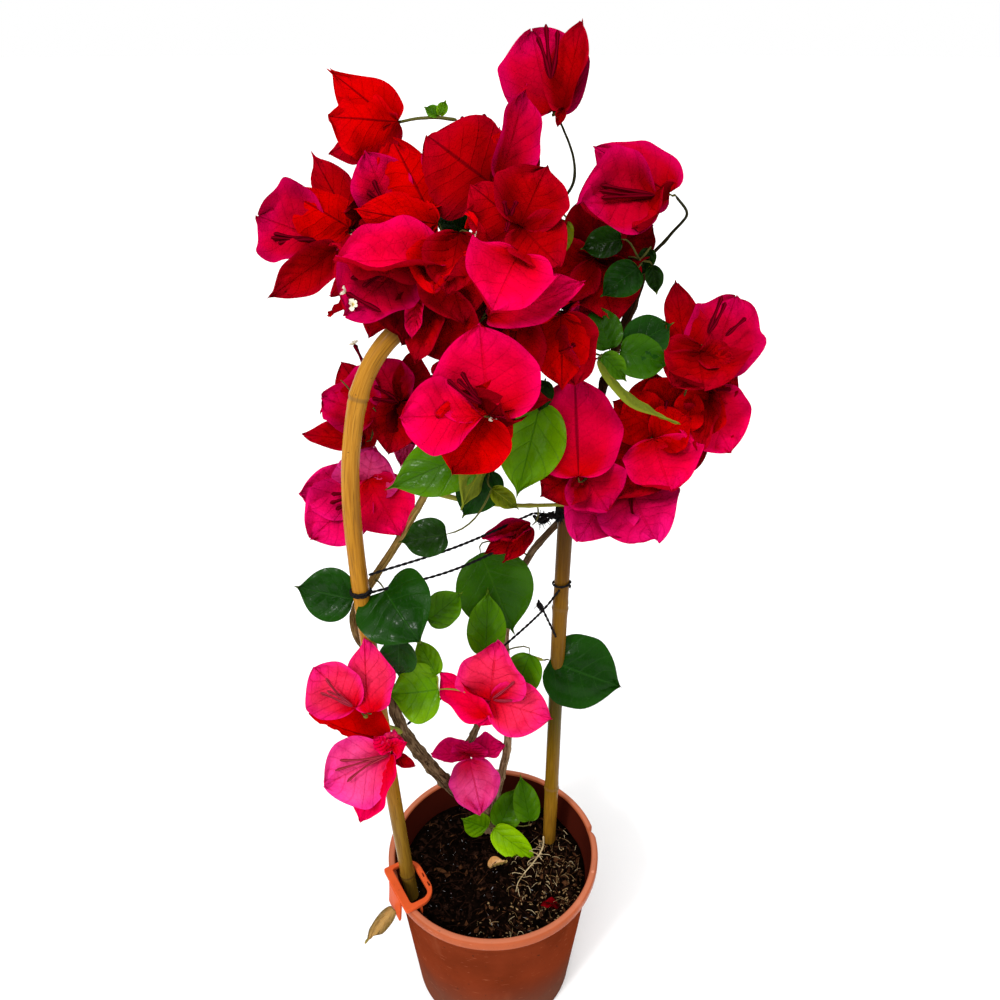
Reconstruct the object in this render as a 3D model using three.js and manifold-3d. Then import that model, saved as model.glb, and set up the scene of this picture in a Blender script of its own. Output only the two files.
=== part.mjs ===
// A bougainvillea in a nursery pot, trained up a cane hoop.
// Millimetres, +Z up. The origin is the centre of the pot's flat underside, the pot stands on z = 0,
// and the plant's front faces -Y.

import * as THREE from 'three';
import { mergeVertices } from 'three/addons/utils/BufferGeometryUtils.js';
import Module from 'manifold-3d';

// ---------------------------------------------------------------- driving dimensions

const GAP = 0.3; // between pieces that touch
const ROUND_SIDES = 32; // of the pot and the soil

const POT = { height: 125, rimRadius: 75, lipInner: 70.2, wallTop: 117, shoulder: 70.6, foot: 58, wall: 1.8 };
const DRAIN = { count: 6, radius: 4, ring: 38 };
const SOIL_TOP = 103;
const SOIL_EDGE = { width: 7, drop: 1.5 };

const CANE_RADIUS = 4.8;
const CANE_BURIED = 40; // length of each leg below the soil's surface
const CANE_SPREAD_SLOPE = 0.47; // how far the hoop runs back for each millimetre that it runs right
const CANE_FRONT = { x: -58, y: -21 };
const CANE_SIDES = 10;

const CLIP = { turn: 210, inner: 53, outer: 75.5, left: -20.5, right: 18, corner: 12, thick: 3, lift: 0.4 };
const CLIP_HOLE = { inner: 57, outer: 71.2, left: -17.2, right: 14, corner: 6 };
const CLIP_TONGUE = { inner: 76, thick: 2, left: -10, right: 8, drop: 18, flare: 3 };
const CLIP_TAB = { inner: 64.4, thick: 1.3, left: 13, right: 17.6, drop: 7 };

const TIE_RADIUS = 0.6;
const LARGE_MASS = 31; // half-size from which a leaf or bloom mass gets the finer ball
const THIN_LIMB = 2; // root radius under which a limb has fewer sides

const POT_TONE = 0x8a3a1c;
const SOIL_TONE = 0x2a1d15;
const CANE_TONE = 0xb58a3c;
const CLIP_TONE = 0xe0602c;
const TIE_TONE = 0x0c0c0c;
const BARK_TONE = 0x6b4d38;
const GREEN_STEM_TONE = 0x6f8a2c;
const LEAF_TONE = 0x2f6a1c;
const BLOOM_TONE = 0xc8053c;

// ---------------------------------------------------------------- tools

const wasm = await Module();
wasm.setup();

const plant = new THREE.Group();

function solidOf(geometry) {
  const bare = geometry.clone();
  bare.deleteAttribute('normal');
  bare.deleteAttribute('uv');
  const merged = mergeVertices(bare, 1e-4);
  return new wasm.Manifold(new wasm.Mesh({
    numProp: 3,
    vertProperties: new Float32Array(merged.attributes.position.array),
    triVerts: new Uint32Array(merged.index.array),
  }));
}

function geometryOf(solid) {
  const mesh = solid.getMesh();
  const geometry = new THREE.BufferGeometry();
  geometry.setAttribute('position', new THREE.BufferAttribute(new Float32Array(mesh.vertProperties), 3));
  geometry.setIndex(new THREE.BufferAttribute(new Uint32Array(mesh.triVerts), 1));
  return geometry;
}

// The largest body of what is left of a solid once its neighbours are cut away.
function carve(solid, cutters) {
  const left = cutters.reduce((rest, cutter) => rest.subtract(cutter), solid);
  return left.decompose().reduce((best, body) => (body.volume() > best.volume() ? body : best));
}

function addPiece(name, solid, tone, roughness) {
  const material = new THREE.MeshStandardMaterial({ color: tone, roughness, metalness: 0 });
  const mesh = new THREE.Mesh(geometryOf(solid), material);
  mesh.name = name;
  plant.add(mesh);
}

function curveThrough(points) {
  return new THREE.CatmullRomCurve3(points.map((p) => new THREE.Vector3(...p)), false, 'centripetal');
}

// A closed tapering rod along a curve: a capped cylinder whose rings are laid square to the curve.
function rod(curve, rootRadius, tipRadius, { sides = 8, steps = 12 } = {}) {
  const frames = curve.computeFrenetFrames(steps);
  const geometry = new THREE.CylinderGeometry(tipRadius, rootRadius, 1, sides, steps);
  const position = geometry.attributes.position;
  for (let i = 0; i < position.count; i += 1) {
    const along = position.getY(i) + 0.5;
    const step = Math.round(along * steps);
    const place = curve.getPointAt(along);
    place.addScaledVector(frames.normals[step], position.getX(i));
    place.addScaledVector(frames.binormals[step], -position.getZ(i));
    position.setXYZ(i, place.x, place.y, place.z);
  }
  return solidOf(geometry);
}

// ---------------------------------------------------------------- pot and soil

function potWallRadius(z) {
  return POT.foot + (POT.shoulder - POT.foot) * (z / POT.wallTop);
}

function lathe(profile, sides) {
  const outline = profile.map(([r, z]) => new THREE.Vector2(r, z));
  return solidOf(new THREE.LatheGeometry(outline, sides).rotateX(Math.PI / 2));
}

function drainHole(index) {
  const angle = (index / DRAIN.count) * 2 * Math.PI;
  const bore = new THREE.CylinderGeometry(DRAIN.radius, DRAIN.radius, 4 * POT.wall, 8).rotateX(Math.PI / 2);
  return solidOf(bore.translate(DRAIN.ring * Math.cos(angle), DRAIN.ring * Math.sin(angle), 0));
}

function makePot() {
  const shell = lathe([
    [0, 0],
    [POT.foot - 1.5, 0],
    [potWallRadius(1.5), 1.5],
    [POT.shoulder, POT.wallTop],
    [POT.rimRadius - 1, POT.wallTop + 0.6],
    [POT.rimRadius, POT.wallTop + 2],
    [POT.rimRadius, POT.height - 2],
    [POT.rimRadius - 1.2, POT.height],
    [POT.lipInner + 1, POT.height],
    [POT.lipInner, POT.height - 1],
    [POT.shoulder - POT.wall, POT.wallTop - 1],
    [potWallRadius(POT.wall) - POT.wall, POT.wall],
    [0, POT.wall],
  ], ROUND_SIDES);
  const holes = Array.from({ length: DRAIN.count }, (_, index) => drainHole(index));
  return holes.reduce((rest, hole) => rest.subtract(hole), shell);
}

function makeSoil() {
  const facet = Math.cos(Math.PI / ROUND_SIDES);
  const inner = (z) => (potWallRadius(z) - POT.wall - 1.5 * GAP) * facet;
  const floor = POT.wall + GAP;
  return lathe([
    [0, floor],
    [inner(floor) - GAP, floor],
    [inner(SOIL_TOP), SOIL_TOP - SOIL_EDGE.drop],
    [inner(SOIL_TOP) - SOIL_EDGE.width, SOIL_TOP],
    [0, SOIL_TOP],
  ], ROUND_SIDES);
}

// ---------------------------------------------------------------- cane hoop

// Half of the bend and each leg, as x and z; the hoop's own plane gives y.
const HOOP_LEFT = [
  [-53.5, SOIL_TOP - CANE_BURIED], [-58, SOIL_TOP], [-67.5, 263], [-73, 420],
  [-69.7, 459], [-61.8, 490], [-48.6, 509], [-30, 519.5],
];
const HOOP_RIGHT = [
  [-10, 523], [10, 518.5], [27, 507], [39, 489], [44.5, 464], [44.5, 400],
  [43, 297], [42, SOIL_TOP], [41.5, SOIL_TOP - CANE_BURIED],
];
const HOOP_STEPS = 30;
const BEND_START = 430; // height at which the legs end and the bend begins
const BEND_MIDDLE = -12;

const hoopCurve = curveThrough([...HOOP_LEFT, ...HOOP_RIGHT].map(
  ([x, z]) => [x, CANE_FRONT.y + CANE_SPREAD_SLOPE * (x - CANE_FRONT.x), z],
));

// The hoop is split flat into two legs and two halves of the bend.
function makeHoop() {
  const whole = rod(hoopCurve, CANE_RADIUS, CANE_RADIUS, { sides: CANE_SIDES, steps: HOOP_STEPS });
  const legs = whole.trimByPlane([0, 0, -1], -(BEND_START - GAP / 2));
  const bend = whole.trimByPlane([0, 0, 1], BEND_START + GAP / 2);
  const leftOf = (solid) => solid.trimByPlane([-1, 0, 0], -(BEND_MIDDLE - GAP / 2));
  const rightOf = (solid) => solid.trimByPlane([1, 0, 0], BEND_MIDDLE + GAP / 2);
  return {
    hoop_leg_left: leftOf(legs),
    hoop_bend_left: leftOf(bend),
    hoop_bend_right: rightOf(bend),
    hoop_leg_right: rightOf(legs),
  };
}

function widerHoop() {
  return rod(hoopCurve, CANE_RADIUS + GAP, CANE_RADIUS + GAP, { sides: CANE_SIDES, steps: HOOP_STEPS });
}

// ---------------------------------------------------------------- rim clip

// A rounded plate between two radii of the pot, with its straight side outwards.
function clipOutline({ inner, outer, left, right, corner }) {
  const shape = new THREE.Shape();
  shape.moveTo(outer, left);
  shape.lineTo(outer, right);
  shape.lineTo(inner + corner, right);
  shape.absarc(inner + corner, right - corner, corner, Math.PI / 2, Math.PI, false);
  shape.lineTo(inner, left + corner);
  shape.absarc(inner + corner, left + corner, corner, Math.PI, 1.5 * Math.PI, false);
  shape.closePath();
  return shape;
}

function clipBlock({ inner, thick, left, right, drop, flare = 0 }) {
  const side = new THREE.Shape([
    new THREE.Vector2(inner - 1, 0),
    new THREE.Vector2(inner, -1),
    new THREE.Vector2(inner + flare, -drop),
    new THREE.Vector2(inner + flare + thick, -drop),
    new THREE.Vector2(inner + thick, 0),
    new THREE.Vector2(inner + thick, CLIP.thick),
    new THREE.Vector2(inner - 1, CLIP.thick),
  ]);
  const block = new THREE.ExtrudeGeometry(side, { depth: right - left, bevelEnabled: false });
  return solidOf(block.rotateX(Math.PI / 2).translate(0, right, 0));
}

function makeClip() {
  const plateOutline = clipOutline(CLIP);
  plateOutline.holes.push(clipOutline(CLIP_HOLE));
  const plate = new THREE.ExtrudeGeometry(plateOutline, {
    depth: CLIP.thick, bevelEnabled: false, curveSegments: 4,
  });
  const clip = solidOf(plate).add(clipBlock(CLIP_TONGUE)).add(clipBlock(CLIP_TAB));
  return clip.rotate([0, 0, CLIP.turn]).translate([0, 0, POT.height + CLIP.lift]);
}

// ---------------------------------------------------------------- limbs

// Each limb tapers from its root to its tip along its own way points.
const LIMBS = {
  trunk: {
    root: 6.2, tip: 5.4, steps: 4, tone: BARK_TONE,
    route: [[-4, 38.2, SOIL_TOP - 6], [-4.5, 38, SOIL_TOP + 3], [-8, 36.5, 122]],
  },
  left_stem: {
    root: 5, tip: 3.4, steps: 15, tone: BARK_TONE,
    route: [
      [-12.5, 35, 127], [-30, 24, 159.5], [-58, -8, 247.7], [-66, -16, 306], [-79, -17.5, 329],
      [-78, -17.5, 350], [-67.5, -16.5, 367], [-49.6, -12, 394.7], [-40.3, -8, 410.3],
    ],
  },
  left_bough: {
    root: 3.3, tip: 2.6, steps: 8, tone: BARK_TONE,
    route: [[-39.7, -7.4, 411.4], [-32.5, -2, 424], [-22, 6, 452], [-10, 10, 490]],
  },
  right_stem: {
    root: 3.4, tip: 3, steps: 12, tone: BARK_TONE,
    route: [
      [1.8, 38, 118], [4.5, 38.4, 148], [9.9, 39, 186], [9, 39, 238], [12.8, 40, 289],
      [27.5, 40, 323], [43, 41, 344], [48, 41, 381],
    ],
  },
  right_bough: {
    root: 3, tip: 2.6, steps: 12, tone: BARK_TONE,
    route: [[48.1, 41, 381.4], [56.7, 40, 428.7], [66.2, 36, 476.5], [77.8, 27, 525], [79.2, 25, 536]],
  },
  middle_stem: {
    root: 2.7, tip: 2.2, steps: 10, tone: BARK_TONE,
    route: [[-15, 34, 132], [-18.5, 34, 162], [-18, 31.5, 193], [-11, 28.5, 214], [-4.6, 26, 258], [-5.4, 24, 300]],
  },
  green_branch: {
    root: 1.6, tip: 1, steps: 10, tone: GREEN_STEM_TONE,
    route: [[-33, -8.5, 420], [-12, -2, 410.5], [16, 7, 402.6], [43, 16, 398.5], [63.6, 19, 395]],
  },
  low_left_branch: {
    root: 1.8, tip: 1.2, steps: 6, tone: GREEN_STEM_TONE,
    route: [[-58.5, -11, 247], [-64, -24, 264], [-75, -40, 288]],
  },
  low_right_branch: {
    root: 1.5, tip: 1, steps: 6, tone: GREEN_STEM_TONE,
    route: [[13.2, 37.6, 262], [24.4, 24, 281], [39, 20, 278.4], [52, 20, 272]],
  },
  right_top_branch: {
    root: 1.5, tip: 0.9, steps: 7, tone: GREEN_STEM_TONE,
    route: [[79.3, 24.8, 536], [88, 10, 553], [93, 0, 564], [86, -4, 573]],
  },
  top_branch: {
    root: 1.3, tip: 0.8, steps: 6, tone: GREEN_STEM_TONE,
    route: [[26, 14, 558], [40, 14, 576], [38, 13, 592], [31, 12, 606]],
  },
  upper_left_branch: {
    root: 1.2, tip: 0.8, steps: 5, tone: GREEN_STEM_TONE,
    route: [[-14, -14, 606], [-27.7, -13, 606.7], [-39.2, -9, 604.6], [-47, -8, 604]],
  },
};

// Nothing of a limb reaches below the flat cut at the soil's surface.
function limb({ root, tip, steps, route }, extra = 0) {
  const sides = root < THIN_LIMB ? 6 : 8;
  const whole = rod(curveThrough(route), root + extra, tip + extra, { sides, steps });
  return whole.trimByPlane([0, 0, 1], SOIL_TOP + GAP);
}

// ---------------------------------------------------------------- string ties

const TIES = {
  tie_high: [[-66.6, -31, 380.8], [-20, -9, 385], [24.6, 21.6, 389.5]],
  tie_middle: [[-66.4, -31.4, 369.5], [-22, -13, 372], [22.8, 19, 376]],
  tie_low: [[-54, -12, 254.5], [-26.7, -5, 275.8], [30, 18.6, 318.7], [42, 21.6, 334.5]],
};

function tie(route, extra = 0) {
  return rod(curveThrough(route), TIE_RADIUS + extra, TIE_RADIUS + extra, { sides: 6, steps: route.length });
}

// ---------------------------------------------------------------- leaf and bloom masses

// Centre, half-size on x, y and z, and turn about y in degrees. The order decides who keeps the
// ground where two masses meet.
const BLOOMS = {
  bloom_top: [[27, 12, 619.5], [21, 12, 22], 0],
  bloom_upper_left: [[-56, -8, 607], [18, 11, 19], -20],
  bloom_right: [[109, -2, 506], [24, 15, 25], 10],
  bloom_right_top: [[62, -12, 577], [29, 15, 22], 12],
  bloom_big_front: [[-9, -57, 497], [28, 18, 29], 8],
  bloom_centre: [[10, -48, 562], [22, 16, 26], 0],
  bloom_crown_front: [[-6, -22, 594], [24, 16, 20], -8],
  bloom_far_left: [[-83, -18, 562], [22, 13, 34], -16],
  bloom_left_high: [[-46, -18, 581], [18, 15, 21], 20],
  bloom_left_low: [[-47, -37, 545], [23, 16, 26], 0],
  bloom_centre_low: [[22, -36, 516], [26, 15, 21], -10],
  bloom_dark_right: [[52, 8, 537], [23, 17, 22], 0],
  bloom_right_mid: [[47, -20, 464], [24, 14, 26], 14],
  bloom_right_red: [[88, -3, 447], [23, 13, 26], -24],
  bloom_right_low: [[121, 2, 461], [16, 11, 22], 12],
  bloom_right_foot: [[72, -6, 407], [30, 13, 17], -8],
  bloom_left_mid: [[-70, -4, 470], [30, 15, 28], -14],
  bloom_left_foot: [[-77, 1, 412], [30, 13, 31], 18],
  bloom_low_left_up: [[-77, -48, 322], [23, 14, 24], -10],
  bloom_low_left: [[-77, -49, 266], [30, 14, 32], 20],
  bloom_low_centre: [[2, -12, 289], [31, 15, 30], -20],
  bloom_low_small: [[-17, 17, 175], [21, 12, 22], 6],
  bloom_droop: [[13, 8, 386], [13, 8, 16], 24],
  bloom_back_top: [[-4, 38, 574], [31, 18, 26], 10],
  bloom_back_left: [[-44, 31, 537], [31, 19, 32], -12],
  bloom_back_right: [[38, 42, 524], [29, 17, 30], 16],
  bloom_back_low: [[-4, 39, 470], [30, 17, 31], -20],
};
const LEAVES = {
  leaf_shoot: [[7, 30, 124], [24, 13, 18], -16],
  leaf_core: [[6, 2, 536], [34, 26, 42], 0],
  leaf_under_crown: [[-22, -30, 456], [27, 17, 23], 22],
  leaf_front_right: [[22, -34, 459], [17, 12, 25], -12],
  leaf_right: [[65, -17, 506], [24, 17, 20], 0],
  leaf_middle: [[3, 9, 339], [25, 14, 30], 12],
  leaf_left_in: [[-48, -36, 348], [27, 12, 25], -14],
  leaf_left_out: [[-94, -20, 362], [17, 10, 16], 10],
  leaf_low_yellow: [[-51, -26, 297], [16, 11, 17], 0],
  leaf_low_right: [[63, 20, 265], [22, 10, 24], -24],
};

// A wavy ball stretched to its sizes: slow waves along slanted directions give each its own lumps.
function lumpyBall([centre, half, turn], seed, extra = 0) {
  const geometry = new THREE.IcosahedronGeometry(1, Math.max(...half) > LARGE_MASS ? 2 : 1);
  const position = geometry.attributes.position;
  const spot = new THREE.Vector3();
  for (let i = 0; i < position.count; i += 1) {
    spot.fromBufferAttribute(position, i).normalize();
    const wave = 0.10 * Math.sin(3.1 * spot.x + 1.7 * spot.z + seed)
      + 0.08 * Math.sin(4.3 * spot.z - 2.3 * spot.y + 2.1 * seed)
      + 0.05 * Math.sin(6.1 * spot.x * spot.z + 3.7 * spot.y + 3.3 * seed);
    spot.multiplyScalar(1.07 + wave);
    position.setXYZ(
      i,
      spot.x * (half[0] + extra),
      spot.y * (half[1] + extra),
      spot.z * (half[2] + extra),
    );
  }
  geometry.rotateY(THREE.MathUtils.degToRad(turn)).translate(...centre);
  return solidOf(geometry);
}

// ---------------------------------------------------------------- assembly

const cutters = [];

function addCut(name, solid, wider, tone, roughness) {
  addPiece(name, carve(solid, cutters), tone, roughness);
  cutters.push(wider);
}

cutters.push(widerHoop());
addPiece('pot', makePot(), POT_TONE, 0.4);
addPiece('soil', carve(makeSoil(), cutters), SOIL_TONE, 0.95);
addPiece('rim_clip', makeClip(), CLIP_TONE, 0.45);
for (const [name, solid] of Object.entries(makeHoop())) {
  addPiece(name, solid, CANE_TONE, 0.55);
}
for (const [name, size] of Object.entries(LIMBS)) {
  addCut(name, limb(size), limb(size, GAP), size.tone, 0.85);
}
for (const [name, route] of Object.entries(TIES)) {
  addCut(name, tie(route), tie(route, GAP), TIE_TONE, 0.7);
}

const masses = [
  ...Object.entries(LEAVES).map(([name, size]) => [name, size, LEAF_TONE]),
  ...Object.entries(BLOOMS).map(([name, size]) => [name, size, BLOOM_TONE]),
];
masses.forEach(([name, size, tone], index) => {
  addCut(name, lumpyBall(size, index), lumpyBall(size, index, GAP), tone, 0.9);
});

export default plant;
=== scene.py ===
# %% [markdown]
# # A potted bougainvillea, trained up a cane hoop
# The finished piece is a young bougainvillea in a moulded nursery pot. Two woody stems are tied to a bent
# cane, and the crown above them is mostly papery bracts round small flower tubes.
# Millimetres are used for every size, and turned into metres only when a mesh is made.
# The frame comes first: it holds the solids that each detailed piece has to follow.

import math
from types import SimpleNamespace

import bpy
import numpy as np
from mathutils import Matrix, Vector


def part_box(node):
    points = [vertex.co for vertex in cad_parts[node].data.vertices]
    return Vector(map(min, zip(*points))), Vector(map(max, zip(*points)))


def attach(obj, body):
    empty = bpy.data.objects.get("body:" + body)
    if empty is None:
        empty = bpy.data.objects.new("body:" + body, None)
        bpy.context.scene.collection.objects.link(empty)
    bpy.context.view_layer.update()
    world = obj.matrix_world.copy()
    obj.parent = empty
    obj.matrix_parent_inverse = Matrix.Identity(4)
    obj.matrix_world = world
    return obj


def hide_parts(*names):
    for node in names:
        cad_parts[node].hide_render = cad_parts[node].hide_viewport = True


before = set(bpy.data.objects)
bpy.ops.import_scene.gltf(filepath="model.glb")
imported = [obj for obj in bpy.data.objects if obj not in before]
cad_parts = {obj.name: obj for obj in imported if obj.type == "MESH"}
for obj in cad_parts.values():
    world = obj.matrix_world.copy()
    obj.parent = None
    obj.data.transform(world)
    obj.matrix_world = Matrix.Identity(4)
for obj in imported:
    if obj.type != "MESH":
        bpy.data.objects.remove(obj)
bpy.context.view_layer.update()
MM = 0.001

# %% [markdown]
# ## Where things face
# The plant is looked at from its front and a little above, so three directions do most of the work: right,
# up in the view, and toward the viewer. A direction is then two plain angles. The turn goes clockwise from
# straight up, as on a clock face, and the lean tips it toward the viewer.
# World angles would do too, but these can be read off a plant by eye.

# %% Directions seen from the front
VIEW_PITCH = math.radians(28.8)
RIGHT = np.array([1.0, 0.0, 0.0])
UP = np.array([0.0, math.sin(VIEW_PITCH), math.cos(VIEW_PITCH)])
TOWARD = np.array([0.0, -math.cos(VIEW_PITCH), math.sin(VIEW_PITCH)])


def unit(vector):
    return vector / max(np.linalg.norm(vector), 1e-9)


def heading(turn, lean):
    turn, lean = math.radians(turn), math.radians(lean)
    flat = math.sin(turn) * RIGHT + math.cos(turn) * UP
    return math.cos(lean) * flat + math.sin(lean) * TOWARD


def face_of(direction, roll):
    """The way a blade faces: to the viewer, square to its direction, then rolled clockwise about it."""
    flat = unit(TOWARD - np.dot(TOWARD, direction) * direction)
    roll = math.radians(roll)
    return flat * math.cos(roll) + np.cross(direction, flat) * math.sin(roll)


print("up in the view:", np.round(heading(0, 0), 2), "and to the right:", np.round(heading(90, 0), 2))


# %% Places on the frame, in millimetres
def centre_of(node):
    low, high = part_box(node)
    return (np.array(low) + np.array(high)) / 2 / MM


def half_size(node):
    low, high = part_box(node)
    return (np.array(high) - np.array(low)) / 2 / MM


def spot(node, right=0, up=0, toward=0):
    """A place measured from the middle of a frame solid."""
    return centre_of(node) + right * RIGHT + up * UP + toward * TOWARD


print("middle of the top bloom:", np.round(spot("bloom_top"), 1))

# %% [markdown]
# ## Camera, floor and light
# The camera stands close and looks down over the blooms into the pot, so the pot's mouth is a wide
# ellipse. The studio is a pale floor under a white sky, with broad soft suns: they fall evenly on a large
# floor, where a lamp close by would leave it grey at the far side.

# %% Camera
LENS = 30.6
CAMERA_PLACE = (0.0048, -0.416, 0.639)


def new_object(name, data):
    made = bpy.data.objects.new(name, data)
    bpy.context.scene.collection.objects.link(made)
    return made


camera = new_object("camera", bpy.data.cameras.new("camera"))
camera.data.sensor_width = 36
camera.data.lens = LENS
camera.location = CAMERA_PLACE
camera.rotation_euler = (math.pi / 2 - VIEW_PITCH, 0, 0)
bpy.context.scene.camera = camera
bpy.context.scene.view_settings.view_transform = "Standard"
print("camera:", LENS, "mm lens,", CAMERA_PLACE[2], "m above the ground")

# %% Soft suns
SUNS = {  # strength, softness in degrees, then where it stands: azimuth from the front and height
    "sun_key": (1.75, 55, -30, 47),
    "sun_glint": (1.1, 8, -36, 46),
    "sun_fill": (0.6, 80, 62, 40),
    "sun_top": (0.9, 90, 10, 85),
    "sun_back": (0.5, 50, 170, 48),
}
for name, (strength, softness, azimuth, height) in SUNS.items():
    sun = new_object(name, bpy.data.lights.new(name, "SUN"))
    sun.data.energy = strength
    sun.data.angle = math.radians(softness)
    sun.rotation_euler = (math.radians(90 - height), 0, math.radians(azimuth))
print("suns:", ", ".join(SUNS))

# %% A sky that looks white, and lights the plant only faintly
SKY_GLOW = 0.26
world = bpy.data.worlds.new("studio")
bpy.context.scene.world = world
world.use_nodes = True
sky = world.node_tree
sky.nodes["Background"].inputs["Color"].default_value = (1, 1, 1, 1)
sight = sky.nodes.new("ShaderNodeLightPath")
level = sky.nodes.new("ShaderNodeMapRange")
level.inputs["To Min"].default_value = SKY_GLOW
level.inputs["To Max"].default_value = 1.0
sky.links.new(sight.outputs["Is Camera Ray"], level.inputs["Value"])
sky.links.new(level.outputs["Result"], sky.nodes["Background"].inputs["Strength"])
print("sky: white, with a glow of", SKY_GLOW)

# %% [markdown]
# ## Finishes as small graphs
# Every finish is a Principled shader with nodes in front of its colour and its bump. The same few steps
# come back all the time, such as a mask between two levels or a mix of two colours, so a small helper
# writes them. That keeps each finish readable as a recipe.


# %% A helper for finishes
class Finish:
    """A material being mixed: most methods add a node and return the socket it gives."""

    def __init__(self, name, roughness, specular, **settings):
        self.material = bpy.data.materials.new(name)
        self.material.use_nodes = True
        self.tree = self.material.node_tree
        self.shader = self.tree.nodes["Principled BSDF"]
        self.fill(self.shader, Roughness=roughness, Specular_IOR_Level=specular, **settings)

    def feed(self, socket, value):
        """A value is another node's output, a colour, or plain numbers."""
        if isinstance(value, bpy.types.NodeSocket):
            self.tree.links.new(value, socket)
        elif socket.type == "RGBA":
            socket.default_value = (*value, 1)
        else:
            socket.default_value = value

    def fill(self, node, **values):
        """Feeds sockets by name, with a low line for each space in the name."""
        for name, value in values.items():
            self.feed(node.inputs[name.replace("_", " ")], value)

    def add(self, kind, **values):
        node = self.tree.nodes.new("ShaderNode" + kind)
        self.fill(node, **values)
        return node

    def map(self, name):
        node = self.add("UVMap")
        node.uv_map = name
        return node.outputs["UV"]

    def place(self, scale=(1, 1, 1), source=None):
        source = source or self.add("TexCoord").outputs["Object"]
        return self.add("Mapping", Vector=source, Scale=scale).outputs["Vector"]

    def split(self, vector):
        return self.add("SeparateXYZ", Vector=vector).outputs

    def maths(self, operation, *values):
        node = self.add("Math")
        node.operation = operation
        for socket, value in zip(node.inputs, values):
            self.feed(socket, value)
        return node.outputs[0]

    def times(self, one, other):
        return self.maths("MULTIPLY", one, other)

    def distance(self, one, other):
        return self.maths("ABSOLUTE", self.maths("SUBTRACT", one, other))

    def weigh(self, *shares):
        """Adds up values, each times its own weight."""
        total = self.times(*shares[0])
        for share in shares[1:]:
            total = self.maths("ADD", total, self.times(*share))
        return total

    def mask(self, value, low, high, start=0.0, end=1.0):
        """Goes smoothly from start to end while the value goes from low to high."""
        node = self.add("MapRange", Value=value, From_Min=low, From_Max=high, To_Min=start, To_Max=end)
        node.interpolation_type = "SMOOTHSTEP"
        return node.outputs[0]

    def noise(self, vector, scale, detail=3.0, rough=0.55):
        node = self.add("TexNoise", Vector=vector, Scale=scale, Detail=detail, Roughness=rough)
        return node.outputs["Fac"]

    def streaks(self, around, along, detail=3.0, rough=0.55):
        """Noise drawn out along a rod, by its own map."""
        return self.noise(self.place((around, along, 1), self.map("Grain")), 1, detail, rough)

    def cells(self, vector, scale):
        node = self.add("TexVoronoi")
        node.feature = "DISTANCE_TO_EDGE"
        self.fill(node, Vector=vector, Scale=scale)
        return node.outputs["Distance"]

    def mix(self, share, one, other, blend="MIX"):
        node = self.add("Mix")
        node.data_type, node.blend_type = "RGBA", blend
        colour_one, colour_other, colour_out = node.inputs[6], node.inputs[7], node.outputs[2]
        self.fill(node, Factor=share)
        self.feed(colour_one, one)
        self.feed(colour_other, other)
        return colour_out

    def layer(self, under, over, value, low, high, most=1.0, blend="MIX"):
        """Lays one colour over another where a value is high."""
        return self.mix(self.mask(value, low, high, 0.0, most), under, over, blend)

    def colour(self, value):
        self.fill(self.shader, Base_Color=value)

    def bump(self, height, distance, strength):
        node = self.add("Bump", Strength=strength, Distance=distance * MM, Height=height)
        self.fill(self.shader, Normal=node.outputs[0])


# %% Floor
FLOOR_REACH = 30  # metres, so that its far edge meets the white sky
FLOOR_GLOW = 0.08  # a light table, so shadows stay faint
floor_finish = Finish("pale_floor", 0.9, 0.1, Emission_Color=(1, 1, 1), Emission_Strength=FLOOR_GLOW)
floor_grain = floor_finish.noise(floor_finish.place(), 40)
floor_finish.colour(floor_finish.mix(floor_grain, (0.93, 0.93, 0.93), (0.96, 0.96, 0.96)))
bpy.ops.mesh.primitive_circle_add(vertices=96, radius=FLOOR_REACH, fill_type="NGON")
floor = bpy.context.object
floor.name = "floor"
floor.data.materials.append(floor_finish.material)
print("floor:", FLOOR_REACH, "m from its middle to its edge")

# %% [markdown]
# ## Two ways of making a skin
# Nearly everything on this plant is either a rod, such as a stem, a string or a flower tube, or a blade,
# such as a bract or a leaf. A rod is rings laid along a smooth route. A blade is a grid of points in an
# outline, bent and quilted, with a second grid just behind it so that it is a thin solid with two sides.
# Both are worked out as grids of points in numpy, because thousands of them have to be quick. A heap
# gathers all pieces of one kind, and makes one mesh of them at the end.

# %% Faces from tables of points
FORWARD = (0, 1, 2, 3)
TURNED = (0, 3, 2, 1)


def round_angles(sides):
    return np.arange(sides) * 2 * math.pi / sides


def point_table(rows, columns):
    return np.arange(rows * columns).reshape(rows, columns)


def closed(table):
    """The same table with its first column repeated at the end."""
    return np.hstack([table, table[:, :1]])


def quads(table, order=FORWARD):
    """The four corners of each square of a table."""
    corners = [table[:-1, :-1], table[:-1, 1:], table[1:, 1:], table[1:, :-1]]
    return np.stack([corners[k] for k in order], -1)


def fan(middle, ring):
    """Triangles from one point to each side of a closed ring."""
    return np.stack([np.full(len(ring), middle), ring, np.roll(ring, -1)], -1)


print("a table of 3 by 4 points, closed, gives", quads(closed(point_table(3, 4))).size // 4, "faces")

# %% A heap that becomes one mesh
TILE_EDGE = 0.03


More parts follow.
